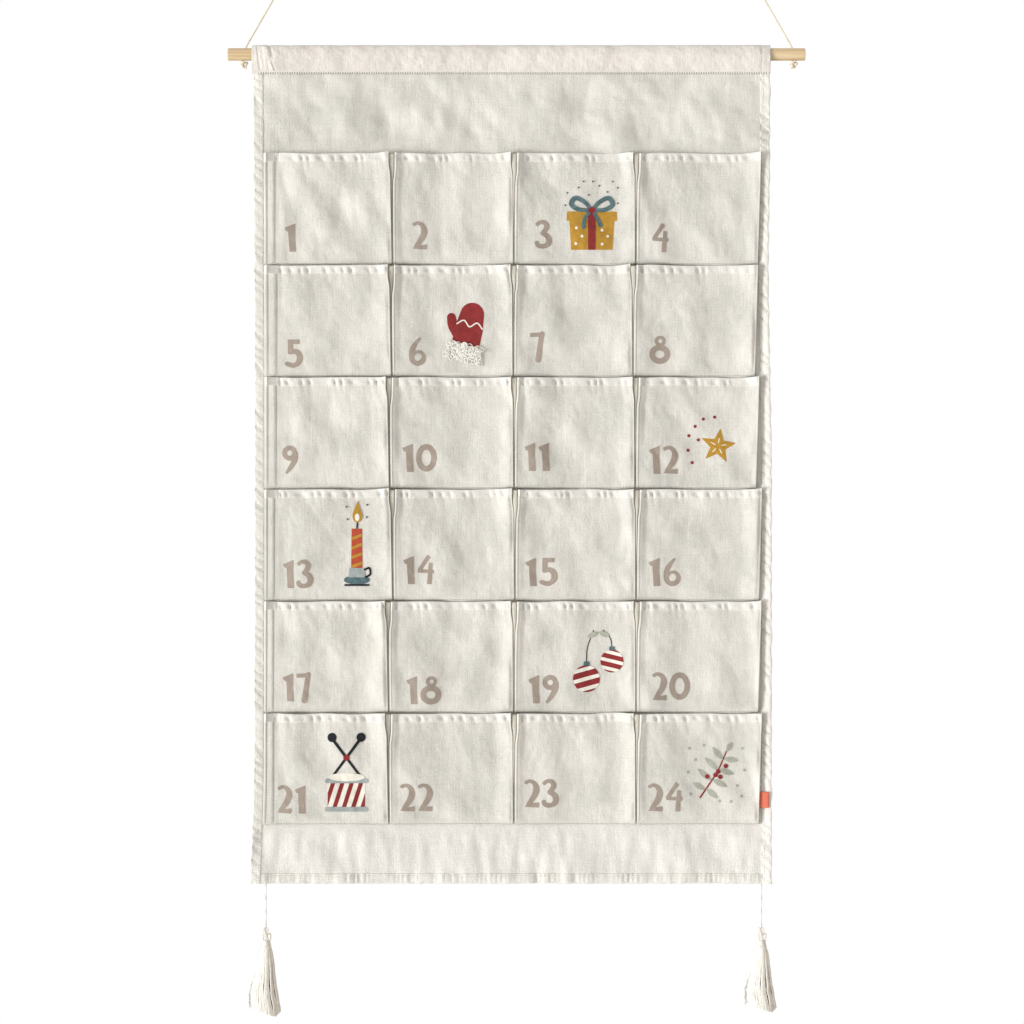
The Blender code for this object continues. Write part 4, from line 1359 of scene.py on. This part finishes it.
# %% Numerals on the pockets
NUMERAL_PIXELS = (
    (284, 252), (412, 250), (535, 249), (652, 253), (284, 368), (408, 366), (530, 361), (649, 364),
    (281, 474), (402, 472), (524, 471), (648, 474), (282, 588), (403, 584), (525, 586), (648, 586),
    (282, 701), (406, 704), (528, 703), (651, 700), (277, 813), (400, 811), (524, 807), (647, 811),
)


def numeral(number, left, foot):
    """A number's shape, with its lower left corner at a place in millimetres."""
    parts, pen = [], left

    def drawn(line):
        return [(pen + a * DIGIT_HEIGHT, foot + b * DIGIT_HEIGHT) for a, b in line]

    for digit in str(number):
        width, strokes, blocks = DIGITS[digit]
        for line, widths in strokes:
            widths = [w * DIGIT_HEIGHT for w in widths]
            parts.append(stroke(drawn(line), *widths, round_ends=line[0] == line[-1]))
        parts.extend(polygon(drawn(block)) for block in blocks)
        pen += (width + 0.075) * DIGIT_HEIGHT
    return united(*parts), ((left - 2.0, foot - 2.0), (pen + 2.0, foot + DIGIT_HEIGHT + 2.0))


def print_finish(name, ink, cloth):
    """Ink that is partly worn through to the cloth."""
    finish = Finish(name, {"Roughness": 0.85, "Specular IOR Level": 0.25})
    place = finish.node("TexCoord", None, None, "Object")
    threads = finish.noise(finish.stretched(place, (1.0, 1.0, 0.25)), 900.0, 3.0)
    worn = finish.noise(place, 150.0, 3.0)
    finish.colour(finish.mix((threads * 0.6 + worn * 0.4).within(0.50, 0.80) * 0.55, ink, cloth))
    finish.bump(threads, 0.00015, 0.6)
    return finish.material


ink = print_finish("numeral_ink", (0.350, 0.295, 0.252), (0.600, 0.535, 0.480))
for number, (across, down) in zip(forms, NUMERAL_PIXELS):
    shape, box = numeral(number, *from_photo(across, down))
    mark = lay_on(forms[number], [(shape, box, 0.6, 0.28, ink)], f"pocket_{number:02d}_numeral")
    sewn_on(mark, number)
print("numerals printed:", len(forms))

# %% [markdown]
# ## Ornaments
# Seven pockets carry a picture: felt pieces and thread in mustard, deep red, slate blue and sage, each on
# the free part of its pocket. A picture is a list of flat shapes, drawn round its own middle, and each shape
# lies a little higher than the one before it. The felt is matt, with short fibres lying in all directions.


# %% Felt, and a picture on a pocket
def felt_finish(name, colour, depth=0.78):
    """Matt felt. Its darkest places are its colour times depth."""
    finish = Finish(name, {"Roughness": 0.95, "Sheen Weight": 0.12, "Specular IOR Level": 0.2})
    place = finish.node("TexCoord", None, None, "Object")
    fibres = finish.noise(place, 1100.0, 4.0)
    clouds = finish.noise(place, 190.0, 3.0)
    finish.colour(finish.mix((fibres * 0.5 + clouds * 0.5).within(0.38, 0.62), scaled(colour, depth), colour))
    finish.bump(fibres + clouds * 0.6, 0.0005, 0.8)
    return finish.material


mustard = felt_finish("mustard_felt", (0.510, 0.285, 0.045))
deep_red = felt_finish("deep_red_felt", (0.290, 0.036, 0.038))
bright_red = felt_finish("bright_red_felt", (0.500, 0.085, 0.045))
slate = felt_finish("slate_blue_felt", (0.125, 0.205, 0.225), 0.6)
pale_slate = felt_finish("pale_slate_felt", (0.400, 0.440, 0.440))
sage = felt_finish("sage_felt", (0.470, 0.480, 0.400))
black = felt_finish("black_thread", (0.022, 0.024, 0.030), 0.6)
cream = felt_finish("cream_felt", (0.880, 0.850, 0.770), 0.9)


def drawn_at(shape, middle, turn=0.0):
    """A shape moved from its own middle to a place on the banner, and turned."""
    cosine, sine = math.cos(turn), math.sin(turn)

    def inside(x, z):
        a, b = x - middle[0], z - middle[1]
        return shape(a * cosine + b * sine, b * cosine - a * sine)

    return inside


def leaf(base, tip, breadth):
    """A pointed leaf: what two circles have in common."""
    run, rise = tip[0] - base[0], tip[1] - base[1]
    length = math.hypot(run, rise)
    radius = (length**2 / breadth + breadth) / 4
    middle = ((base[0] + tip[0]) / 2, (base[1] + tip[1]) / 2)
    side = (-rise / length * (radius - breadth / 2), run / length * (radius - breadth / 2))
    one = oval((middle[0] + side[0], middle[1] + side[1]), radius, radius)
    other = oval((middle[0] - side[0], middle[1] - side[1]), radius, radius)
    return common(one, other)


def dots(places, radius):
    return united(*(oval(place, radius, radius) for place in places))


def strokes(lines, *widths, round_ends=False):
    """Brush strokes of the same widths along several lines."""
    return united(*(stroke(line, *widths, round_ends=round_ends) for line in lines))


def upright(foot, foot_half, top, top_half):
    """A straight-sided shape from foot to top, with half its width at each end."""
    return polygon([(-foot_half, foot), (foot_half, foot), (top_half, top), (-top_half, top)])


def picture(number, pixel, reach, shapes, turn=0.0):
    """Lays a picture's shapes, each (shape, finish), on a pocket round a pixel's place."""
    middle = from_photo(*pixel)
    low, high = (middle[0] - reach[0], middle[1] - reach[1]), (middle[0] + reach[0], middle[1] + reach[1])
    layers = []
    for i, (shape, finish) in enumerate(shapes):
        layers.append((drawn_at(shape, middle, turn), (low, high), 0.55, 0.22 + 0.1 * i, finish))
    piece = lay_on(forms[number], layers, f"pocket_{number:02d}_picture")
    return sewn_on(piece, number)


print("felts: mustard, two reds, two slates, sage, black and cream")

# %% [markdown]
# ## Gift, star and candle
# The gift on pocket 3 is a mustard box with a red band, a slate bow and cream dots, and small black stitches
# fall round it. Pocket 12 has a mustard star with red dots, and pocket 13 a tall candle in a holder.

# %% Pictures on pockets 3, 12 and 13
box_front, lid, band = upright(-33, 20, -4, 22), upright(-5, 24.5, 4, 24), upright(-33, 3.6, 4, 3.8)
bow_line = [(0, 5), (-7, 13), (-16, 17), (-20, 11), (-13, 6), (0, 5)]
bow = strokes([bow_line, [(-a, b) for a, b in bow_line]], 3.4, 4.6, 3.4, round_ends=True)
tails = strokes([[(-1, 5), (-7, -3), (-8, -12)], [(1, 5), (6, -4), (9, -10)]], 3.0, 4.2)
spots = dots([(-15, -12), (-9.5, -20), (-15.5, -27), (10, -14), (15.5, -20), (10, -27.5)], 1.4)
falling = [(-24, 22), (-13, 27), (-3, 20), (7, 29), (15, 23), (25, 27)]
falling += [(25, 12), (-26, 10), (-8, 33), (1, 33), (20, 33)]
gift = [(box_front, mustard), (lid, mustard), (band, deep_red), (spots, cream), (tails, slate), (bow, slate)]
gift += [(oval((0, 5.5), 3.6, 3.0), deep_red), (dots(falling, 0.75), black)]
picture(3, (592, 216), (29, 36), gift)


def round_star(radius, turn):
    """A place round the star's own middle."""
    return 5.0 + radius * math.sin(turn), -4.0 + radius * math.cos(turn)


star = polygon([round_star((17.5, 7.6)[i % 2], math.tau * i / 10 + 0.15) for i in range(10)])
star_stitches = strokes([[round_star(3, a), round_star(8, a)] for a in (0.15, 1.4, 2.7, 3.9, 5.2)], 0.9)
red_dots = dots([(-23, 6), (-17, 15), (-9, 22), (2, 24), (-24, -8), (-14, 2), (-20, -20)], 1.5)
picture(12, (712, 442), (29, 29), [(star, mustard), (star_stitches, cream), (red_dots, deep_red)])

candle, cup = upright(-27, 5.6, 13, 5.2), upright(-34, 8.5, -25, 7.2)
winding = strokes([[(-8, low), (8, low + 6)] for low in (-25, -16, -7, 2)], 2.6)
dish = oval((0, -36.5), 12.6, 4.4)
flame = united(oval((0.4, 25), 4.6, 6.0), polygon([(-4.0, 27.5), (0.8, 40), (4.8, 27)]))
handle = stroke([(8, -34), (13, -31), (12, -25), (7, -27)], 1.9)
dish_foot, wick = stroke([(-12, -41.5), (12, -41.5)], 1.8), stroke([(0, 13), (0.5, 19)], 1.4)
glow, glints = oval((0.3, 24), 2.2, 3.6), dots([(-10, 34), (10, 36), (-9, 22), (9.5, 24)], 0.8)
candle_shapes = [(candle, bright_red), (common(candle, winding), mustard), (dish, slate), (cup, pale_slate)]
candle_shapes += [(handle, black), (dish_foot, black), (wick, black)]
candle_shapes += [(flame, mustard), (glow, cream), (glints, black)]
picture(13, (356.5, 542), (14, 44), candle_shapes)
print("gift, star and candle laid on")

# %% [markdown]
# ## Mitten, baubles, drum and sprig
# Pocket 6 has a red mitten with a cuff of white wool loops, which stand out from the cloth and are grown by
# the yarn tree below. Pocket 19 has two striped baubles, pocket 21 a drum with its sticks, and pocket 24 a
# leafy sprig.

# %% Pictures on pockets 6, 19, 21 and 24
hand = stroke([(0, -12), (0, -2), (0, 16)], 27, 27, 23, round_ends=True)
thumb = stroke([(-9, -6), (-16, 2), (-19, 9)], 10, 10, 8.5, round_ends=True)
zigzag = stroke([(-13, 4), (-6.5, 9), (0, 4), (6.5, 9), (13, 4)], 1.3)
mitten = common(united(hand, thumb), upright(-15, 40, 40, 40))
cuff = upright(-29, 17, -14, 15.5)
MITTEN, MITTEN_TURN = (468.5, 331), -0.22
mitten_shapes = [(mitten, deep_red), (common(mitten, zigzag), cream), (cuff, cream)]
picture(6, MITTEN, (34, 38), mitten_shapes, MITTEN_TURN)

near_ball, far_ball = oval((-11, -14), 13, 13), oval((13.5, 3), 11, 11)
near_bands = strokes([[(-26, low - 4), (4, low + 4)] for low in (-23.5, -14, -4.5)], 3.6)
far_bands = strokes([[(1, low + 3), (26, low - 3)] for low in (-5, 3, 11)], 3.2)
near_cap = polygon([(-14, -1.5), (-8, -1.5), (-8.4, 2.5), (-13.6, 2.5)])
far_cap = polygon([(10.8, 13.5), (16.2, 13.5), (15.8, 17), (11.2, 17)])
strings = strokes([[(-11, 2), (-10, 16), (-4, 33)], [(13.5, 17), (12, 25), (5, 33)]], 0.9)
two_leaves = united(leaf((0, 31), (-10, 26), 5), leaf((1, 31), (11, 27), 5))
baubles = [(strings, black), (near_ball, deep_red), (far_ball, deep_red)]
baubles += [(common(near_ball, near_bands), cream), (common(far_ball, far_bands), cream)]
baubles += [(united(near_cap, far_cap), slate), (two_leaves, sage)]
picture(19, (597.5, 664), (27, 36), baubles)

side = upright(-37, 18, -8, 18)
stripes = strokes([[(a, -37), (a + 9, -8)] for a in range(-30, 20, 9)], 4.0)
rims = strokes([[(-18.5, -36.5), (18.5, -36.5)], [(-18.5, -9), (18.5, -9)]], 4.6, round_ends=True)
sticks = strokes([[(-13, -4), (13, 31)], [(13, -4), (-13, 31)]], 2.3, 2.9)
tips, crossing = dots([(14, 33), (-14, 33)], 4.4), dots([(0, 13.5)], 3.0)
drumhead = oval((0, -5.5), 17.5, 4.0)
drum = [(side, cream), (common(side, stripes), deep_red), (sticks, black), (tips, black)]
drum += [(rims, pale_slate), (drumhead, cream), (crossing, deep_red)]
picture(21, (346.5, 771), (24, 43), drum)

stem = [(-16, -24), (-6, -9), (2, 4), (10, 22)]
leaves = [((-11, -16), (-23, -9)), ((-10, -15), (1, -24)), ((-5, -7), (-18, 4)), ((-4, -6), (10, -13))]
leaves += [((1, 3), (-11, 15)), ((2, 4), (17, -1)), ((6, 13), (-4, 25))]
leaves += [((7, 14), (21, 12)), ((10, 21), (15, 30))]
blades = united(*(leaf(base, tip, 5.4) for base, tip in leaves))
berries = [(-1, -1.5), (3.6, -3.4), (1.6, 1.8), (9, 7), (-9, -3)]
loose = [(-26, 24), (-20, 13), (-25, -20), (24, -22), (20, -12), (27, 3)]
loose += [(25, 24), (-12, 27), (3, -27), (-27, 1), (14, -27)]
sprig = [(dots(loose, 1.5), sage), (stroke(stem, 1.5, 1.1), deep_red), (blades, sage)]
sprig += [(strokes(leaves, 0.6), pale_slate), (dots(berries, 2.2), deep_red)]
picture(24, (715.5, 773), (30, 31), sprig)
print("mitten, baubles, drum and sprig laid on")

# %% [markdown]
# ## Rod
# The rod is a plain turned dowel of pale wood, sawn off square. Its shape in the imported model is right, so
# only its finish is made here: long grain along the rod, a few darker streaks, and rings on the sawn ends.

# %% Wood finish
wood = Finish("pale_wood", {"Roughness": 0.55, "Specular IOR Level": 0.35})
place = wood.node("TexCoord", None, None, "Object")
facing = wood.node("NewGeometry", None, None, "Normal").part("X")
end_face = facing.maths("ABSOLUTE", facing).within(0.7, 0.9)
grain = wood.noise(wood.stretched(place, (14.0, 520.0, 520.0)), 1.0, 4.0)
streaks = wood.noise(wood.stretched(place, (30.0, 260.0, 260.0)), 1.0, 2.0)
rings = wood.noise(wood.stretched(place, (0.0, 300.0, 900.0)), 1.0, 3.0)
side_colour = wood.mix(grain.within(0.34, 0.68), (0.60, 0.43, 0.240), (0.74, 0.60, 0.385))
side_colour = wood.mix(streaks.within(0.5, 0.72) * 0.6, side_colour, (0.72, 0.54, 0.39))
end_colour = wood.mix(rings.within(0.4, 0.62), (0.56, 0.37, 0.20), (0.76, 0.57, 0.35))
wood.colour(wood.mix(end_face, side_colour, end_colour))
wood.bump(grain, 0.0002, 0.5)
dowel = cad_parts["dowel"]
dowel.data.materials.clear()
dowel.data.materials.append(wood.material)
print("dowel wears", dowel.data.materials[0].name)

# %% [markdown]
# ## Tassels
# A tassel is a hank of yarn that is looped over its cord and bound below the loops. Python draws one line
# for each strand: loops for the head, and strands that hang from the neck in uneven locks and flare to a
# ragged, slanted end. A tree gives each line its small waves and its thickness, and the binding is one
# strand wound round the neck.


# %% Yarn tree
def yarn_tree():
    """A round strand with small random waves along each line."""
    tree, start, end = new_tree("yarn", {"Strand": 0.8 * MM, "Wave": 0.3 * MM, "Wave rate": 240.0, "Seed": 1})
    given = start.outputs
    curve = add(tree, "GeometryNodeMeshToCurve", None, {0: given["Lines"]})
    place = add(tree, "GeometryNodeInputPosition")
    waves = {"Vector": place, "W": given["Seed"], "Scale": given["Wave rate"], "Detail": 1.0}
    texture = add(tree, "ShaderNodeTexNoise", {"noise_dimensions": "4D"}, waves)
    centring = {0: texture.outputs["Color"], 1: (0.5, 0.5, 0.5)}
    centred = add(tree, "ShaderNodeVectorMath", {"operation": "SUBTRACT"}, centring)
    shift = add(tree, "ShaderNodeVectorMath", {"operation": "SCALE"}, {0: centred, "Scale": given["Wave"]})
    moved = add(tree, "GeometryNodeSetPosition", None, {"Geometry": curve, "Offset": shift})
    half = add(tree, "ShaderNodeMath", {"operation": "MULTIPLY"}, {0: given["Strand"], 1: 0.5})
    ring = add(tree, "GeometryNodeCurvePrimitiveCircle", None, {"Resolution": 5, "Radius": half})
    tube = {"Curve": moved, "Profile Curve": ring, "Fill Caps": True}
    return finish_tree(tree, start, end, add(tree, "GeometryNodeCurveToMesh", None, tube))


yarn = yarn_tree()


def yarn_piece(name, lines, finish, strand, wave=0.3, rate=240.0, seed=1):
    """Yarn along lines of points. Its thickness and the height of its waves are in millimetres."""
    values = {"Finish": finish, "Strand": strand * MM, "Wave": wave * MM, "Wave rate": rate, "Seed": seed}
    return grown(line_object(name, lines), yarn, values)
dice = random.Random(61)
form, (middle_x, middle_z) = forms[6], from_photo(*MITTEN)
wool_loops = []
for _ in range(150):
    a, b = dice.uniform(-17.5, 17.5), dice.uniform(-29.5, -14)
    size, start = dice.uniform(1.5, 2.6), dice.uniform(0.0, math.tau)
    turn = start + np.linspace(0.0, math.tau, 13)
    a, b = a + size * np.cos(turn), b + 0.9 * size * np.sin(turn)
    x = middle_x + a * math.cos(MITTEN_TURN) - b * math.sin(MITTEN_TURN) - form.left
    h = middle_z + b * math.cos(MITTEN_TURN) + a * math.sin(MITTEN_TURN) - form.foot
    wool_loops.append(form.place(x, h, form.front(x, h) + 1.0 + 0.9 * (1.0 - np.cos(turn - start))))
wool = yarn_piece("pocket_06_wool", wool_loops, yarn_fibre, 0.85, 0.4)
sewn_on(wool, 6)
print("yarn tree has", len(yarn.nodes), "nodes; the mitten's cuff has", len(wool_loops), "loops")

# %% [markdown]
# ## A tassel's head
# The head is a full loop of yarn that leans to the left, and an open ring on the right, tied to the cord by
# one small ring. Each strand of it is one line, up from the neck and down again.


# %% Head of a tassel
def loop_line(foot, sway, narrow, half, height, depth):
    """One loop of a tassel's head. It stands on the neck and leans out by sway, less by narrow at its top."""
    line = []
    for k in range(17):
        t = k / 16
        arch = math.sin(math.pi * t)
        x = sway * arch - narrow * arch**6 - half * math.cos(math.pi * t)
        line.append(foot + Vector((x, depth * (0.6 + 0.4 * arch), height * arch**0.75 - 2.0)) * MM)
    return line


def head_lines(foot, height, dice):
    """A full loop on the left and an open, shorter ring on the right."""
    full, ring = [], []
    for _ in range(30):
        top = (height + 2.0) * dice.uniform(0.90, 1.0)
        full.append(loop_line(foot, -2.4, -1.0, 3.2 * dice.uniform(0.1, 1.0), top, dice.uniform(-1.8, 1.8)))
    for _ in range(11):
        top = 0.72 * (height + 2.0) * dice.uniform(0.92, 1.0)
        ring.append(loop_line(foot, 3.9, 0.2, 3.3 * dice.uniform(0.8, 1.0), top, dice.uniform(-1.4, 1.4)))
    for size in (1.0, 1.15, 0.8):
        tie = []
        for k in range(18):
            turn = math.tau * k / 16
            across, up = 0.5 + 1.7 * size * math.cos(turn), height - 2.2 + 2.1 * size * math.sin(turn)
            tie.append(foot + Vector((across, -1.2 * size, up)) * MM)
        ring.append(tie)
    return full, ring


print("a loop is a line of", len(loop_line(Vector(), 0.0, 0.0, 3.0, 10.0, 0.0)), "points")

# %% [markdown]
# ## A tassel's skirt
# A tassel leans: its left side flares early and ends in a few loose, thin and wavy strands, whose grey is
# painted shade, and its right side hangs nearly straight before it turns out. Most strands are light and a
# few are warm at random. Towards the shaded right the share of warm ones grows, which is painted shade.
# Strands that lie side by side share a bend, which makes locks and not a brush.

# %% Skirt of a tassel
SKIRT_STRANDS = 300
LOOSE_STRANDS = 12
LOCKS = 19
FULL_LENGTH = 58.0
SKIRT_WAVES = (1.0, 120.0, 5)
SKIRT_LEFT = (
    (0, -4.6), (3, -6.4), (11, -7.8), (21, -9.2), (27, -10.6),
    (32, -12.6), (40, -14.4), (47, -14.8), (66, -13.4),
)
SKIRT_RIGHT = ((0, 5.0), (4, 6.2), (11, 7.0), (26, 8.2), (41, 10.6), (53, 13.6), (66, 14.8))
ABOVE_NECK = ((2.6, 1.8, 8.6), (4.1, 3.1, 5.6))


def skirt_lines(neck, length, dice):
    """Light strands, warm ones at random and more as painted shade on the right, loose thin ones on the left.
    """
    locks = [(dice.uniform(-0.8, 0.8), dice.uniform(0.0, 6.3)) for _ in range(LOCKS)]
    light, warm, loose = [], [], []
    for i in range(SKIRT_STRANDS + LOOSE_STRANDS):
        free = i >= SKIRT_STRANDS
        angle = math.tau * (0.618 * i + dice.uniform(-0.02, 0.02))
        layer = 1.0 if i % 4 else dice.uniform(0.35, 0.9)
        across, depth = layer * math.cos(angle), layer * math.sin(angle)
        if free:
            across, depth = -1.0, dice.uniform(-0.5, 0.3)
        bend, phase = locks[min(int((across + 1.0) / 2.0 * LOCKS), LOCKS - 1)]
        phase = dice.uniform(0.0, 6.3) if free else phase
        wavy = dice.uniform(0.7, 1.7) if free else 0.22
        hang = length * (1.0 + dice.uniform(-0.025, 0.015)) + 4.6 * across - 16.0 * max(across - 0.65, 0.0)
        line = [neck + Vector((a * across, b * depth, up)) * MM for a, b, up in ABOVE_NECK]
        for k in range(19):
            t = k / 18
            fallen = hang * t * FULL_LENGTH / length
            left, right = np.interp(fallen, *zip(*SKIRT_LEFT)), np.interp(fallen, *zip(*SKIRT_RIGHT))
            x = (left + right) / 2 + across * (right - left) / 2 + bend * math.sin(math.pi * t)
            x += wavy * math.sin(6.5 * t * math.pi + phase) * ease(3.0 * t - 1.0) + dice.uniform(-0.08, 0.08)
            line.append(neck + Vector((float(x), depth * (3.9 + 4.4 * t), 1.0 - (hang + 1.0) * t)) * MM)
        # painted shade: on the right the share of warm strands rises from 0.14 to 0.86; at 0.14 they are warm
        # at random
        shade = 0.14 if across < 0.0 else 0.14 + 0.72 * ease((across - 0.05) / 0.6)
        group = loose if free else warm if dice.random() < shade else light
        group.append(line)
    return light, warm, loose


print("a skirt has", SKIRT_STRANDS, "strands and", LOOSE_STRANDS, "loose ones")

# %% [markdown]
# ## Putting a tassel together
# Both tassels are made alike, each in the boxes of its imported pieces. The binding is one strand wound round
# the neck. All the yarn, the head and the ring among it, goes with the tassel's body.

# %% Tassels
for side, (strands, cord_path) in tassel_cords.items():
    dice = random.Random(7)
    body = "tassel_" + side
    low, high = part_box("tassel_head_" + side)
    middle = Vector(((low.x + high.x) / 2, (low.y + high.y) / 2, low.z))
    full, ring = head_lines(middle, (high.z - low.z) / MM, dice)
    head = yarn_piece("tassel_loop_" + side, full, yarn_fibre, 1.15, seed=3)
    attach(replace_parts(head, "tassel_head_" + side), body)
    # painted shade: the ring and its ties wear warm yarn because they lie on the tassel's shaded right side
    ring = yarn_piece("tassel_ring_" + side, ring, warm_and_shade_yarn, 0.9, seed=4)
    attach(ring, body)

    low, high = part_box("tassel_binding_" + side)
    coil, radius = [], (high.x - low.x) / 2 - 0.35 * MM
    for k in range(150):
        turn = k / 26 * math.tau
        across, up = radius * math.cos(turn), high.z - 0.6 * MM - (high.z - low.z - 1.2 * MM) * k / 149
        deep = middle.y + 0.85 * radius * math.sin(turn)
        coil.append(Vector((middle.x + across, deep, up - 0.12 * across)))
    binding = yarn_piece("tassel_wrap_" + side, [coil], yarn_fibre, 1.1, 0.25)
    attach(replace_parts(binding, "tassel_binding_" + side), body)

    neck = Vector((middle.x, middle.y, low.z))
    skirt_length = (low.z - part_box("tassel_skirt_" + side)[0].z) / MM - 4.5
    light, warm, loose = skirt_lines(neck, skirt_length, dice)
    skirt = yarn_piece("tassel_fringe_" + side, light, yarn_fibre, 1.55, *SKIRT_WAVES)
    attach(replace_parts(skirt, "tassel_skirt_" + side), body)
    warm_and_shade_skirt = yarn_piece("tassel_warm_and_shade_fringe_" + side, warm, warm_and_shade_yarn, 1.55, *SKIRT_WAVES)
    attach(warm_and_shade_skirt, body)
    # the loose strands' grey is painted shade
    loose_shade_skirt = yarn_piece("tassel_loose_shade_strands_" + side, loose, loose_shade_yarn, 0.8, *SKIRT_WAVES)
    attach(loose_shade_skirt, body)
    length_of(cord_path)
    print("tassel", side, "has", len(skirt.data.polygons) + len(head.data.polygons), "faces")

# %% [markdown]
# ## Folded label
# A short piece of orange ribbon is folded in half and its ends are caught under the last pocket's edge. It
# is blank. Its section is drawn as the ribbon lies, there and back with the fold at its right, and it gets
# its thickness last.

# %% Label
ribbon = Finish("orange_ribbon", {"Roughness": 0.6, "Sheen Weight": 0.2, "Specular IOR Level": 0.35})
place = ribbon.stretched(ribbon.node("TexCoord", None, None, "UV"), METRES_TO_MM)
ribs = (place.part("Y") * (math.tau / 0.5)).sine()
patch = ribbon.noise(place, 0.7, 3.0)
ribbon.colour(ribbon.mix(patch.within(0.3, 0.7), (0.68, 0.130, 0.072), (0.74, 0.205, 0.128)))
ribbon.bump(ribs * 0.5 + patch, 0.0002, 0.7)

low, high = (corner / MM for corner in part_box("label_tab"))
TAB_SECTION = (
    (-1.5, 0.1), (2.0, 0.15), (5.5, 0.2), (7.0, 0.3), (7.45, 0.75),
    (7.0, 1.2), (4.5, 1.55), (2.0, 1.45), (-1.2, 1.2),
)
tab_line = smooth_section(TAB_SECTION, 0.35)
heights = np.linspace(low.z, high.z, 22)[:, None]
bow = 0.25 * np.sin((heights - low.z) / (high.z - low.z) * math.pi) * ease(tab_line[None, :, 0] / 6.0)
x = low.x - 0.9 + 0.93 * tab_line[None, :, 0] + 0.35 * bow
out = panel_low.y - high.y + tab_line[None, :, 1] + bow
label = cloth_piece("ribbon_label", on_banner(x, heights, out), ribbon.material, 0.3 * MM)
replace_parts(label, "label_tab")
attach(label, "panel")
print("label", [round(v, 1) for v in high - low], "mm")

# %% [markdown]
# ## Light and background
# The photograph is lit softly from the left and a little below, so that a pocket's right fold shades the
# pleat next to it. One broad sun gives that light evenly over the whole banner, and a plain bright world
# fills the shade. The camera sees the world as white, which costs the object no extra light. A pale floor
# lies well below the tassels.

# %% Lamps, world and floor
sun = bpy.data.lights.new("window_light", "SUN")
sun.energy = 2.75
sun.angle = math.radians(24.0)
sun.color = (1.0, 0.995, 0.98)
sun_object = bpy.data.objects.new("window_light", sun)
azimuth, elevation = math.radians(-60.0), math.radians(-9.5)
level = math.cos(elevation)
toward = Vector((math.sin(azimuth) * level, -math.cos(azimuth) * level, math.sin(elevation)))
sun_object.rotation_euler = toward.to_track_quat("Z", "Y").to_euler()
bpy.context.scene.collection.objects.link(sun_object)

world = bpy.data.worlds.new("studio")
bpy.context.scene.world = world
world.use_nodes = True
nodes, links = world.node_tree.nodes, world.node_tree.links
background = nodes["Background"]
rays = nodes.new("ShaderNodeLightPath")
seen = nodes.new("ShaderNodeMath")
seen.operation = "MAXIMUM"
links.new(rays.outputs["Is Camera Ray"], seen.inputs[0])
links.new(rays.outputs["Is Glossy Ray"], seen.inputs[1])
shade = nodes.new("ShaderNodeMix")
shade.data_type = "RGBA"
links.new(seen.outputs[0], shade.inputs[0])
shade.inputs[6].default_value = (0.695, 0.670, 0.630, 1.0)
shade.inputs[7].default_value = (1.0, 1.0, 1.0, 1.0)
links.new(shade.outputs[2], background.inputs["Color"])
background.inputs["Strength"].default_value = 1.0

floor_finish = Finish("studio_floor", {"Base Color": (0.86, 0.86, 0.85, 1.0), "Roughness": 0.8})
floor_mesh = bpy.data.meshes.new("studio_floor")
corners = [(-0.9, -0.5, -1.6), (0.9, -0.5, -1.6), (0.9, 0.9, -1.6), (-0.9, 0.9, -1.6)]
floor_mesh.from_pydata(corners, [], [(0, 1, 2, 3)])
new_object("studio_floor", floor_mesh, floor_finish.material)
bpy.context.scene.view_settings.view_transform = "Standard"
print("light from", [round(v, 2) for v in toward])
